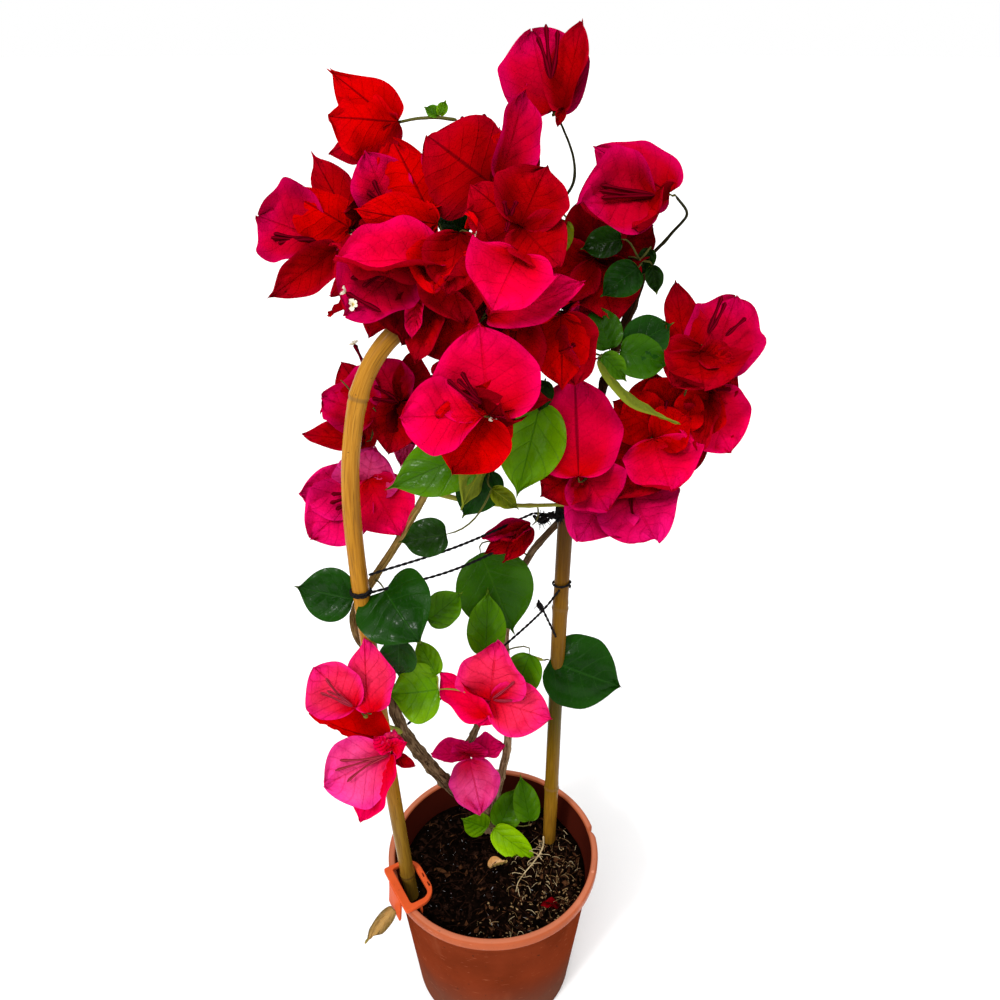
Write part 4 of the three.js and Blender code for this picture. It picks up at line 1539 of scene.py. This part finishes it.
def leaf_finish(tone, under):
    middle, edge, vein = [paint(*colour) for colour in LEAF_TONES[tone]]
    name = f"leaf_{tone}_{'under' if under else 'upper'}"
    finish = Finish(name, 0.55, 0.0) if under else Finish(name, 0.2, 0.07)
    marks = blade_marks(finish, LEAF_VEINS, LEAF_NET)
    cloud = finish.noise(marks.blade, 3.2)
    colour = finish.layer(middle, edge, finish.maths("ADD", marks.across, cloud), 0.7, 1.5)
    if under:
        colour = finish.mix(0.45, colour, paint(*UNDERSIDE_TINT))
    colour = finish.mix(finish.times(marks.net, 0.18), colour, vein)
    colour = finish.mix(finish.times(marks.side, 0.34), colour, vein)
    finish.colour(finish.mix(finish.times(marks.midrib, 0.7), colour, vein))
    raised = 1.0 if under else -1.0
    relief = finish.weigh((marks.side, 0.8 * raised), (marks.midrib, 1.2 * raised),
                          (marks.net, 0.3 * raised))
    finish.bump(relief, 0.3, 0.6)
    return finish


leaf_upper = {tone: leaf_finish(tone, False) for tone in LEAF_TONES}
leaf_under = {tone: leaf_finish(tone, True) for tone in LEAF_TONES}
print("leaf finishes:", len(leaf_upper) + len(leaf_under))


# %% Flower finishes
def tube_finish(name, dark, light):
    finish = Finish(name, 0.6, 0.0)
    around = finish.split(finish.map("Grain"))[0]
    rib = finish.maths("ABSOLUTE", finish.maths("SINE", finish.times(around, 5 * math.pi)))
    finish.colour(finish.layer(paint(*dark), paint(*light), rib, 0.2, 0.9))
    return finish


tube_maroon = tube_finish("tube_maroon", (58, 0, 6), (112, 0, 22))
tube_rose = tube_finish("tube_rose", (96, 8, 24), (170, 52, 70))
floret_cream = Finish("floret_cream", 0.6, 0.05)
floret_along = floret_cream.split(floret_cream.map("Blade"))[1]
floret_cream.colour(floret_cream.layer(paint(214, 190, 90), paint(250, 244, 220), floret_along, 0.05, 0.5))
print("flower finishes:", tube_maroon.material.name, tube_rose.material.name, floret_cream.material.name)

# %% [markdown]
# ## One piece for each group of masses
# All bracts as one mesh would be slow to work with and would hide which frame solids they stand for. So the
# masses are gathered in five groups, each one piece, and leaves, tubes and cream stars are one or two more.

# %% Heaps for blades and flowers
GROUPS = {
    "bracts_crown": ["top", "upper_left", "far_left", "left_high", "crown_front", "centre", "centre_low",
                     "left_low", "big_front"],
    "bracts_right": ["right_top", "right", "right_low", "right_mid", "right_red", "right_foot",
                     "dark_right"],
    "bracts_left": ["left_mid", "left_foot"],
    "bracts_low": ["low_left_up", "low_left", "low_centre", "low_small", "droop"],
    "bracts_back": ["back_left", "back_low", "back_right", "back_top"],
}
BRACT_FINISHES = [*bract_inner.values(), *bract_outer.values()]
LEAF_FINISHES = [*leaf_upper.values(), *leaf_under.values()]
bract_heaps = {name: Heap(name, "bract", BRACT_FINISHES, "Blade", shared_map=True) for name in GROUPS}
leaf_heap = Heap("leaves_front", "leaf", LEAF_FINISHES, "Blade", shared_map=True)
back_leaf_heap = Heap("leaves_back", "leaf", LEAF_FINISHES, "Blade", shared_map=True)
tube_heap = Heap("flower_tubes", "flower", [tube_maroon, tube_rose])
floret_heap = Heap("florets", "flower", [floret_cream], "Blade")
group_of = {"bloom_" + mass: name for name, masses in GROUPS.items() for mass in masses}
print("bract pieces:", ", ".join(GROUPS))

# %% [markdown]
# ## One bloom
# Three bracts stand round three slender tubes, each tube grown onto the foot of one bract. The tube is dark
# and has five ribs, a swollen foot and a waist, and a few of them open into a small cream star.
# Bracts are blades with a heart-shaped base, and margins that wave. Each measure of shape is drawn between
# two limits, which keeps two bracts from looking alike.

# %% Bracts and leaves
BRACT_SHAPE = dict(widest=(0.42, 0.50), pinch=(0.05, 0.5), lobe=(0.12, 0.3), cup=(0.15, 0.55),
                   fold=(0, 0.3), bend=(-10, 34), ripple=(0.035, 0.09), waves=(1.6, 2.8), phase=(0, 6.3),
                   quilt=(1.1, 2.0), twist=(-13, 13), tip=(0.02, 0.06), rumple=(0.045, 0.095),
                   ragged=(0.01, 0.035))
LEAF_SHAPE = dict(widest=(0.36, 0.42), pinch=(0.9, 1.5), lobe=(0.0, 0.12), cup=(-0.1, 0.15),
                  fold=(0.03, 0.22), bend=(-38, -5), ripple=(0.012, 0.035), waves=(1.4, 2.4), phase=(0, 6.3),
                  quilt=(0.8, 1.5), twist=(-12, 12), rumple=(0.02, 0.045), ragged=(0.0, 0.02))
BRACT_GRID, LEAF_GRID, COARSE_GRID = (26, 14), (24, 14), (12, 8)  # rows and columns
BRACT_THICK, LEAF_THICK = 0.28, 0.35
shape_draw = np.random.default_rng(77)


def drawn_shape(limits):
    """Each measure is drawn in turn, from its own limits."""
    return {measure: pick(shape_draw, pair) for measure, pair in limits.items()}


def add_bract(heap, base, tone, direction, face, size, fine=True, flipped=False, **own):
    """flipped turns the named tone to the outer side, for a bract seen from behind."""
    partner = BACK_OF[tone]
    inner, outer = (partner, tone) if flipped else (tone, partner)
    finishes = bract_inner[inner], bract_outer[outer]
    shape = {**drawn_shape(BRACT_SHAPE), "veins": BRACT_VEINS, **own}
    grid = BRACT_GRID if fine else COARSE_GRID
    add_blade(heap, finishes, base, direction, face, size, grid, BRACT_THICK, **shape)


def add_leaf(heap, base, tone, direction, face, size, fine=True, **own):
    finishes = leaf_upper[tone], leaf_under[tone]
    shape = {**drawn_shape(LEAF_SHAPE), "veins": LEAF_VEINS, **own}
    grid = LEAF_GRID if fine else COARSE_GRID
    add_blade(heap, finishes, base, direction, face, size, grid, LEAF_THICK, **shape)


print("drawn for each bract:", ", ".join(BRACT_SHAPE))

# %% Flower tubes and cream stars
TUBE_STEPS = np.array([0, 0.08, 0.2, 0.34, 0.5, 0.66, 0.82, 0.93, 1.0])
TUBE_GIRTH = np.array([0.45, 0.85, 1.15, 1.2, 0.8, 0.72, 0.95, 1.2, 0.75])
TUBE_SIDES = 10
STAR_POINTS, STAR_SIZE = 5, 3.0
STAR_SHAPE = dict(widest=0.66, pinch=0.1, lobe=0, cup=0.4, ripple=0.09, quilt=0.0, ragged=0.1)


def side_axes(axis, draw):
    """Two directions square to an axis, turned at random."""
    side = unit(np.cross(axis, draw.normal(size=3)))
    return side, np.cross(axis, side)


def add_tube(base, direction, length, finish=tube_maroon, girth=1.0, opened=False):
    side, _ = side_axes(direction, shape_draw)
    bow = shape_draw.uniform(-0.07, 0.07) * length
    route = base + TUBE_STEPS[:, None] * length * direction
    route = route + side * (bow * 4 * TUBE_STEPS * (1 - TUBE_STEPS))[:, None]
    ribs = 1 + 0.12 * np.cos(5 * round_angles(TUBE_SIDES))
    add_rod(tube_heap, finish, route, TUBE_GIRTH[:, None] * ribs * girth, TUBE_SIDES)
    if opened:
        add_star(route[-1], direction)


def add_star(place, direction):
    side, other = side_axes(direction, shape_draw)
    for a in round_angles(STAR_POINTS):
        out = math.cos(a) * side + math.sin(a) * other + direction * shape_draw.uniform(0.1, 1.0)
        long = STAR_SIZE * shape_draw.uniform(0.75, 1.1)
        bend, phase = shape_draw.uniform(-60, 30), shape_draw.uniform(0, 6)
        add_blade(floret_heap, (floret_cream, floret_cream), place, out, direction, (long, long * 0.75),
                  (6, 4), 0.2, bend=bend, phase=phase, **STAR_SHAPE)


print("a tube has", len(TUBE_STEPS), "rings and a star", STAR_POINTS, "points")

# %% Stalks
STALK_GIRTH = 0.55


def add_stalk(place, arrive, girth=STALK_GIRTH, finish=olive_twig):
    """From the nearest wood to the foot of a bloom or leaf."""
    start, ahead, _ = nearest_wood(place)
    span = np.linalg.norm(place - start)
    if span < 1.5:
        return
    out = unit(place - start) + 0.5 * ahead + [0, 0, 0.15]
    route = arm(start, out, place, arrive, max(5, int(span / 4)))
    radius = np.linspace(girth * 1.15, girth * 0.8, len(route))
    add_rod(twig_heap, finish, route, radius, 6)
    outer_half = slice(len(route) // 2, None)  # the next stalk may grow from there
    limb_routes[f"stalk_{len(limb_routes)}"] = (route[outer_half], radius[outer_half])


print("stalks:", STALK_GIRTH, "mm in radius")

# %% [markdown]
# ## The blooms seen from the front
# The blooms on the front are set one by one, because each shows a different side. They are listed under the
# mass they belong to. A row gives the offset of a bloom's heart from the middle of that mass, right, up and
# toward the viewer. Then come its bracts: tone, turn, lean, length, width and roll, and sometimes measures
# of shape. A roll near 180 shows the outer side. Last come the tubes: turn, lean and length.

# %% Front blooms
# Bracts in wine are painted shade: dark bracts set behind and deep in a bloom, where shade falls.
BLOOMS = {
    "top": [
        ((1.5, -11, -3), [("magenta", -14, -4, 38, 41, 0, dict(lobe=0.4, pinch=0.0, tip=0.01))], []),
        ((6, -12, 2), [("crimson", 14, 4, 38, 22, -40, dict(fold=0.3, lobe=0.3, bend=4)),
                       ("crimson", 195, 10, 9, 5, 0)], []),
        ((0.5, -3, 6), [], [(-17, 2, 19), (-5, 0, 24), (7, 2, 21)]),
    ],
    "upper_left": [
        ((15, -4, 0), [("red", -50, -4, 39, 25, 170, dict(lobe=0.1, tip=0.1, pinch=1.0, bend=4))], []),
        ((16, -4, 3), [("red", -90, 10, 30, 31, 180, dict(lobe=0.2, tip=0.0, widest=0.58)),
                       ("crimson", -108, -2, 35, 22, 180)], []),
    ],
    "far_left": [
        ((21, -1, -3), [("crimson", -29, -4, 42, 20, 165, dict(pinch=1.2, bend=4))], []),
        ((20, -2, 3), [("red", -59, 4, 32, 28, 180)], []),
        ((6, -6, -4), [("magenta", -68, 0, 31, 37, 0, dict(pinch=0.1))],
         [(-84, 8, 19), (-90, 10, 20), (-97, 8, 17)]),
        ((14, -12, 2), [("crimson", -127, 6, 37, 19, -20)], []),
    ],
    "left_high": [
        ((3, -14, 0), [("magenta", -24, 0, 28, 27, 0, dict(pinch=0.1))], [(-30, 10, 14), (-52, 14, 12)]),
        ((19, -14, 5), [("red", -27, 6, 35, 38, 180)], []),
        ((23, -20, 5), [("red", -86, 18, 35, 22, 160)], []),
    ],
    "crown_front": [
        ((7, -14, 3), [("crimson", -53, 6, 34, 46, 180, dict(lobe=0.3, pinch=0.0, tip=0.0, bend=10))], []),
        ((12, -13, 1), [("red", 2, 0, 24, 32, 180, dict(pinch=0.0, tip=0.0))], []),
        ((11, -13, 6), [("magenta", 17, 2, 41, 22, 35, dict(pinch=0.9)), ("crimson", 42, -25, 24, 20, 0)],
         []),
        ((-6, -5, -6), [("magenta", -50, -15, 22, 22, 0)], []),
        ((-4, 6, -5), [], [(-8, 0, 10)]),
        ((4, 7, -5), [], [(0, 0, 10)]),
    ],
    "centre": [
        ((4, 8, 4), [("crimson", -50, 4, 27, 28, 180, dict(lobe=0.2)),
                     ("crimson", 24, 0, 27, 32, 0, dict(lobe=0.2)), ("crimson", 140, 16, 26, 26, 0)], []),
        ((3, -5, 8), [("pink", 203, 20, 30, 37, 0, dict(lobe=0.1))], []),
        ((-1, 9, 8), [], [(-20, 50, 7), (30, 45, 7), (190, 40, 6)]),
        ((-22, 8, -4), [("crimson", 190, 0, 30, 26, 0)], []),
    ],
    "left_low": [
        ((12, 16, -8), [("crimson", 200, 0, 30, 26, 20)], []),
        ((25, 8, 0), [("crimson", -93, 3, 47, 36, -118)], []),
        ((25, 2, 7), [("pink", -101, 12, 45, 30, 25)], []),
        ((8, 1, -2), [("magenta", -136, 8, 35, 40, 0, dict(pinch=0.1)), ("wine", 178, -5, 32, 30, 0)],
         [(-128, 24, 20), (-112, 20, 22)]),
        ((27, 7, 5), [("red", 188, 20, 27, 27, 0), ("crimson", 165, -10, 34, 32, 0)], []),
        ((22, -12, -6), [("crimson", 190, 0, 32, 20, 20), ("crimson", 150, -5, 34, 32, 20),
                         ("wine", 215, -10, 26, 24, 0)], []),
        ((16, -15, 3), [("pink", 190, 8, 18, 9, 20)], []),
    ],
    "centre_low": [
        ((-24, 6, 11), [("pink", 80, 12, 46, 22, -15)], []),
        ((-10, 7, 6), [("crimson", 190, 5, 34, 30, 180)], []),
        ((9, 8, 2), [("red", 178, 0, 34, 28, 180), ("crimson", 165, -12, 34, 34, 180)], []),
        ((-24, 13, 2), [("red", 92, 8, 36, 26, 0), ("crimson", -70, 5, 28, 26, 0)], []),
        ((-26, 10, 0), [("crimson", 185, 0, 34, 28, 180), ("red", 160, 4, 34, 24, 30)], []),
    ],
    "big_front": [
        ((9, -12, 3), [("pink", -6, -2, 40, 48, 0, dict(pinch=0.05, lobe=0.35))], []),
        ((6, -13, 7), [("pink", -92, 8, 36, 34, 0, dict(bend=12, widest=0.62, lobe=0.0, pinch=0.0))], []),
        ((7, -13, -1), [("red", 210, 4, 29, 35, 0)], []),
        ((7, -9, 9), [], [(-56, 26, 19), (-34, 10, 16), (-46, 18, 15)]),
    ],
    "right_top": [
        ((20, -1, -3), [("magenta", -57, -5, 41, 30, 155, dict(lobe=0.3))], []),
        ((14, -4, 0), [("magenta", -101, 8, 38, 40, 8, dict(pinch=0.0, tip=0.0, widest=0.54))],
         [(-86, 16, 26), (-92, 18, 27), (-98, 16, 26)]),
        ((15, -2, 4), [("crimson", 203, 28, 31, 26, 66)], []),
    ],
    "right": [
        ((-9, -15, 1), [("crimson", -14, -6, 41, 24, 10)], []),
        ((-4, -6, 3), [("crimson", 216, 6, 26, 32, 0)], []),
        ((2, -18, -4), [("magenta", 21, -6, 43, 39, 0, dict(pinch=0.05))], []),
        ((-2, -2, 3), [], [(20, 10, 19), (28, 10, 17)]),
        ((6, -3, 3), [], [(48, 12, 13)]),
        ((-5, -10, 4), [("crimson", 180, 20, 21, 42, 0, dict(pinch=0.0, tip=0.0)),
                        ("crimson", 108, 14, 18, 15, 0)], []),
    ],
    "right_low": [
        ((-10, 13, -2), [("pink", 155, 2, 36, 40, 0, dict(pinch=0.05)), ("crimson", 60, 6, 22, 24, 0)],
         [(88, 22, 14)]),
        ((-6, 12, 2), [("crimson", 182, 10, 36, 20, 50), ("red", 210, 0, 26, 28, 0)], []),
    ],
    "right_mid": [
        ((-3, -25, 9), [("pink", -2, 0, 50, 50, 180, dict(pinch=0.1, lobe=0.2))], []),
        ((0, -20, -4), [("crimson", -125, -8, 26, 30, 0), ("magenta", 150, -10, 26, 34, 0)], []),
    ],
    "right_red": [
        ((1, 7, 2), [("red", 32, 2, 31, 36, 0), ("red", -58, 6, 28, 30, 0)], [(14, 25, 15)]),
        ((-1, 2, 4), [("pink", 166, 6, 31, 42, 0), ("red", 60, 6, 22, 26, 0)], []),
        ((-2, 2, -4), [("crimson", -150, 0, 36, 38, 0), ("crimson", 90, -5, 34, 38, 0),
                       ("red", 5, -10, 36, 36, 0)], []),
    ],
    "dark_right": [
        ((-3, 8, 0), [("crimson", 165, 0, 36, 36, 0), ("crimson", -120, -5, 34, 34, 0),
                      ("wine", 60, -10, 34, 32, 0), ("wine", 0, -10, 32, 32, 0)], []),
    ],
    "right_foot": [
        ((-6, 10, -2), [("fuchsia", 215, 24, 38, 43, 0, dict(pinch=0.1))], []),
        ((4, 10, 2), [("fuchsia", 160, 26, 38, 47, 0, dict(pinch=0.1))], [(178, 25, 17)]),
    ],
    "left_mid": [
        ((7, -8, -4), [("magenta", -72, -4, 30, 36, 15, dict(pinch=0.05))], []),
        ((2, -22, 0), [("crimson", -83, 4, 32, 17, 20)], []),
        ((20, -1, -6), [("magenta", -30, -5, 27, 28, 0), ("crimson", 12, -10, 28, 22, 30),
            ("crimson", 192, 0, 28, 26, 0), ("wine", 150, -10, 26, 26, 0)], [(-60, 20, 14), (-85, 20, 13)]),
    ],
    "left_foot": [
        ((6, 4, 0), [("rose", 16, 12, 27, 36, 0), ("fuchsia", -92, 4, 35, 32, 0),
                     ("fuchsia", -132, 4, 39, 38, 0, dict(pinch=0.1))],
         [(-110, 22, 18), (-125, 24, 17), (-95, 20, 16)]),
        ((9, 11, 3), [("pink", 150, 6, 36, 36, 0)], []),
        ((30, 42, -4), [("rose", 190, 0, 24, 13, 0)], []),
    ],
    "droop": [
        ((10, 2, 0), [("crimson", -121, 0, 31, 14, 0, dict(rumple=0.14)),
                      ("magenta", -105, 0, 28, 12, 30, dict(rumple=0.14)),
                      ("crimson", -138, 10, 27, 12, -20, dict(rumple=0.14)),
                      ("magenta", -128, 16, 20, 10, 60, dict(rumple=0.14))], []),
    ],
    "low_left_up": [
        ((1, -15, 0), [("coral", -43, 0, 33, 34, 0, dict(pinch=0.0, tip=0.0, widest=0.53))],
         [(-59, 22, 20), (-38, 20, 23), (-50, 26, 18)]),
        ((10, -17, 3), [("coral", -9, 4, 41, 28, 170)], []),
    ],
    "low_left": [
        ((14, 12, 3), [("red", -79, 2, 48, 30, 150, dict(bow=0.05))], []),
        ((17, 2, 2), [("rose", -112, 5, 42, 42, 0, dict(pinch=0.0, tip=0.0, widest=0.54)),
                      ("pink", -153, 10, 42, 30, 40), ("crimson", 115, 10, 16, 8, 0)],
         [(-90, 22, 28), (-101, 20, 31), (-118, 22, 27)]),
        ((18, 6, 4), [("coral", 8, 15, 13, 13, 0), ("pink", 62, 20, 12, 12, 0),
                      ("pink", -50, 25, 14, 12, 0)], []),
    ],
    "low_centre": [
        ((-2, -8, 7), [("coral", 6, 4, 37, 42, 0, dict(pinch=0.05)),
                       ("coral", 106, 5, 38, 34, 0, dict(pinch=0.2))], [(48, 22, 19), (80, 22, 21)]),
        ((-4, -18, 8), [("pink", -42, 10, 41, 26, -40)], []),
        ((-3, -4, 1), [("pink", 195, 0, 22, 26, 0)], []),
    ],
    "low_small": [
        ((0, 15, 0), [("fuchsia", -88, 0, 27, 20, 50, dict(pinch=0.0)),
            ("fuchsia", 84, -6, 26, 20, -50, dict(pinch=0.0)), ("fuchsia", 4, 0, 10, 26, 0, dict(tip=0.0))],
         []),
        ((0, 12, 2), [("rose", 166, 8, 38, 36, 170, dict(rumple=0.16, widest=0.5))], []),
    ],
}
STARS = [("left_low", (-14, -15, 13)), ("left_low", (-11, -20, 13)), ("left_mid", (-2, 27, 8))]
STAR_TUBE = 17  # millimetres long
print("front blooms:", sum(len(rows) for rows in BLOOMS.values()), "groups of bracts and tubes")


# %% Set the front blooms
def set_bracts(heap, heart, bracts):
    total = sum(heading(turn, lean) for _, turn, lean, *_ in bracts)
    arrive = unit(total + 1.3 * TOWARD)
    add_stalk(heart - 1.5 * arrive, arrive)
    for tone, turn, lean, length, width, roll, *own in bracts:
        direction = heading(turn, lean)
        face, flipped = face_of(direction, roll), abs((roll + 180) % 360 - 180) > 90
        shape = own[0] if own else {}
        add_bract(heap, heart, tone, direction, face, (length, width), flipped=flipped, **shape)


def set_tubes(heart, tubes, low):
    finish, girth = (tube_rose, 0.75) if low else (tube_maroon, 0.95)
    for turn, lean, length in tubes:
        direction = heading(turn, lean)
        add_tube(heart + direction * 2 + TOWARD * 1.5, direction, length, finish, girth)


for mass, rows in BLOOMS.items():
    node = "bloom_" + mass
    for offset, bracts, tubes in rows:
        heart = spot(node, *offset)
        if bracts:
            set_bracts(bract_heaps[group_of[node]], heart, bracts)
        set_tubes(heart, tubes, group_of[node] == "bracts_low")
for mass, offset in STARS:
    outward = unit(0.8 * TOWARD + shape_draw.normal(0, 0.6, 3))
    add_tube(spot("bloom_" + mass, *offset) - outward * STAR_TUBE, outward, STAR_TUBE, opened=True)
print("bracts so far:", {name: heap.count for name, heap in bract_heaps.items()}, "points")

# %% [markdown]
# ## The leaves seen from the front
# These are set one by one as well, by the foot of each blade. The youngest at the foot of the plant are
# yellow-green, the oldest are dark and shiny, and one or two show their olive underside. A dry leaf has
# caught on the clip, and another lies on the mix beside a fallen bract.

# %% Front leaves, as foot of the blade, tone, turn, lean, length, width and roll
LEAVES = {
    "leaf_left_out": [((16, -5, 0), "dark", -78, 0, 34, 31, 0)],
    "leaf_left_in": [
        ((-11, 22, 2), "dark", 142, 38, 38, 45, 0, dict(lobe=0.32)),
        ((12, 4, -6), "mid", 52, 0, 26, 20, 0),
        ((-4, -7, -6), "dark", 185, -20, 30, 22, 0),
    ],
    "leaf_low_yellow": [
        ((19, -1, 2), "bright", -96, 12, 31, 36, 0),
        ((18, 8, 4), "bright", -30, 0, 25, 15, 0),
    ],
    "leaf_middle": [
        ((-9, 24, 0), "deep", 158, 0, 56, 48, 0),
        ((-6, -38, -4), "mid", 2, 16, 41, 24, 0),
        ((21, -38, -4), "mid", 200, 0, 34, 24, 0),
    ],
    "leaf_low_right": [((-22, 13, 1), "dark", 112, 6, 52, 50, 0, dict(lobe=0.15, pinch=0.5))],
    "leaf_under_crown": [
        ((16, -1, 4), "mid", -113, 0, 49, 30, 0),
        ((28, 0, 0), "olive", -130, 0, 37, 26, 120),
        ((22, -10, -6), "dark", -150, 0, 30, 24, 0),
        ((23, -20, 0), "olive", 127, 0, 18, 10, 0),
        ((0, -43, -4), "shade", -100, 0, 26, 20, 0),
    ],
    "leaf_front_right": [((5, 25, 0), "bright", -166, 0, 48, 34, 0)],
    "leaf_right": [
        ((-7, -2, 2), "deep", -18, 0, 24, 18, 0),
        ((1, -2, 0), "dark", 60, 0, 28, 22, 0),
        ((-2, -4, 2), "deep", 100, 0, 26, 22, 0),
        ((-11, -5, 4), "mid", 135, 0, 18, 12, 0),
        ((-13, -8, 6), "olive", 147, 0, 49, 18, 110),
        ((6, 36, 7), "dark", -127, 0, 22, 18, 0),
        ((13, 47, 0), "shade", 200, 0, 14, 9, 0),
        ((14, 39, 0), "shade", 170, 0, 14, 9, 0),
        ((-2, 50, 6), "shade", -100, 0, 20, 15, 0),
    ],
    "leaf_core": [
        ((-21, 12, 8), "shade", -30, 0, 26, 16, 0),
        ((-12, 14, 6), "shade", 10, 0, 24, 20, 0),
        ((-17, 9, 8), "shade", -80, 0, 18, 12, 0),
        ((29, 21, 4), "olive", 198, 0, 20, 12, 0),
        ((19, -56, 0), "shade", 190, 0, 16, 11, 0),
    ],
    "bloom_crown_front": [((-15, 17, 0), "mid", -60, 0, 8, 6, 0), ((-15, 17, 0), "bright", 20, 0, 7, 5, 0)],
    "leaf_shoot": [
        ((-12, -9, 0), "bright", -60, 30, 24, 20, 0),
        ((-3, -8, 0), "mid", 28, 0, 32, 24, 0),
        ((20, -3, 2), "mid", -12, 0, 34, 20, 0),
        ((-7, -9, 2), "lime", 125, 16, 40, 22, 0),
    ],
}
print("front leaves:", sum(len(rows) for rows in LEAVES.values()))


# %% Set the front leaves
def set_leaf(node, offset, tone, turn, lean, length, width, roll, *own):
    foot, direction = spot(node, *offset), heading(turn, lean)
    add_stalk(foot, direction, finish=green_wood if tone in ("bright", "lime") else olive_twig)
    shape = own[0] if own else {}
    add_leaf(leaf_heap, foot, tone, direction, face_of(direction, roll), (length, width), **shape)


def drop_dead_pieces():
    hang = heading(222, 4)
    caught = spot("rim_clip", -10, -9, 2)
    add_leaf(leaf_heap, caught, "dry", hang, face_of(hang, 20), (31, 11), rumple=0.12, twist=70)
    add_leaf(leaf_heap, on_bed(-3, -1, 1.2), "tan", unit([1, 0.5, 0.2]), UP, (14, 10), rumple=0.12, cup=0.5)
    add_bract(bract_heaps["bracts_low"], on_bed(46, -31, 1.2), "wine", unit([-1, -0.2, 0.2]), UP, (13, 10),
              fine=False, rumple=0.15)


for node, rows in LEAVES.items():
    for row in rows:
        set_leaf(node, *row)
drop_dead_pieces()
print("wood that carries something:", len(limb_routes), "pieces")

# %% [markdown]
# ## The rest of the crown
# From the back and the sides the plant is as full as from the front. Each of the fuller masses of the frame
# gets more blooms and leaves, which look outward and a little up, as blooms turn to the light. They are
# drawn from one seeded generator, on the far half of the masses that are already set one by one in front.

# %% Blooms drawn at random
TONES_OF = {
    "bracts_crown": ["red", "crimson", "magenta", "crimson", "red"],
    "bracts_right": ["magenta", "crimson", "magenta", "pink", "crimson"],
    "bracts_left": ["magenta", "pink", "crimson"],
    "bracts_low": ["coral", "pink", "magenta"],
    "bracts_back": ["crimson", "magenta", "red", "crimson", "magenta", "pink"],
}
OPENED = 0.14  # share of the tubes that open into a star
fill_draw = np.random.default_rng(101)


def add_wild_bloom(heap, heart, axis, tones, size):
    side, other = side_axes(axis, fill_draw)
    add_stalk(heart, axis, 0.5)
    tone = tones[fill_draw.integers(len(tones))]
    for k in range(3):
        a = 2 * math.pi * (k / 3 + fill_draw.uniform(-0.05, 0.05))
        out = math.cos(a) * side + math.sin(a) * other
        open_angle = math.radians(fill_draw.uniform(38, 74))
        direction = math.cos(open_angle) * axis + math.sin(open_angle) * out
        length, width = size * fill_draw.uniform(0.9, 1.1), size * fill_draw.uniform(0.78, 0.98)
        add_bract(heap, heart + out * 0.8, tone, direction, axis, (length, width), fine=False)
        tube_way = unit(axis + 0.35 * out + fill_draw.normal(0, 0.05, 3))
        tube_length = size * fill_draw.uniform(0.5, 0.68)
        add_tube(heart + out * 1.2, tube_way, tube_length, opened=fill_draw.uniform() < OPENED)


def fill_with_blooms(node, count, outward, back):
    centre, half = centre_of(node), half_size(node)
    group = group_of[node]
    for _ in range(count):
        away = unit(fill_draw.normal(size=3))
        if not back:
            away = unit(away - TOWARD * (1.2 + max(0, 2 * np.dot(away, TOWARD))))
        heart = centre + away * half * fill_draw.uniform(0.25, 0.55) - 6 * UP - 4 * TOWARD
        axis = unit(away * 0.9 + outward + [0, 0, 0.25] + fill_draw.normal(0, 0.25, 3))
        size = min(fill_draw.uniform(28, 38), 1.5 * half.min())
        add_wild_bloom(bract_heaps[group], heart, axis, TONES_OF[group], size)


print("tones to draw from:", {group: len(tones) for group, tones in TONES_OF.items()})

# %% Leaves drawn at random
LEAF_CHOICE = ["dark", "mid", "dark", "shade", "mid"]


def fill_with_leaves(node, count):
    centre, half = centre_of(node), half_size(node)
    for _ in range(count):
        away = unit(fill_draw.normal(size=3) - 1.6 * TOWARD)
        foot = centre + away * half * fill_draw.uniform(0.2, 0.6) - 18 * TOWARD
        direction = unit(away + [0, 0, -0.3] + fill_draw.normal(0, 0.3, 3))
        face = unit(np.array([0, 0, 1.0]) + 0.5 * away)
        tone = LEAF_CHOICE[fill_draw.integers(len(LEAF_CHOICE))]
        length = min(fill_draw.uniform(24, 42), 1.3 * half.min())
        width = length * fill_draw.uniform(0.6, 0.85)
        add_stalk(foot, direction, 0.5)
        add_leaf(back_leaf_heap, foot, tone, direction, face, (length, width), fine=False)


print("leaf tones to draw from:", LEAF_CHOICE)

# %% Fill the masses
FILL_SPACE = 15000  # cubic millimetres of a mass for each bloom in it
blooms = leaves = 0
for node in sorted(FULL):
    outward = from_axis(centre_of(node), 40)
    back = "back" in node
    shares = 4.2 * half_size(node).prod() / FILL_SPACE
    if node in group_of and node != "bloom_crown_front":
        count = round(shares * (1.6 if back else 0.45))
        fill_with_blooms(node, count, outward, back)
        blooms += count
    count = round(shares * (0.5 if node in group_of else 1.5))
    fill_with_leaves(node, count)
    leaves += count
print("fill:", blooms, "blooms and", leaves, "leaves")

# %% [markdown]
# ## Meshes
# Everything is in the heaps now, so each heap makes its mesh. Each piece hides the solids of the frame
# that it stands for.

# %% Make the meshes
wood_heap.build(*WOODY, sharp=70)
fresh_heap.build(*GREEN, sharp=60)
twig_heap.build(sharp=60)
for name, heap in bract_heaps.items():
    heap.build(*["bloom_" + mass for mass in GROUPS[name]])
leaf_heap.build(*[name for name in MASSES if name.startswith("leaf_")])
back_leaf_heap.build()
tube_heap.build(sharp=60)
floret_heap.build()
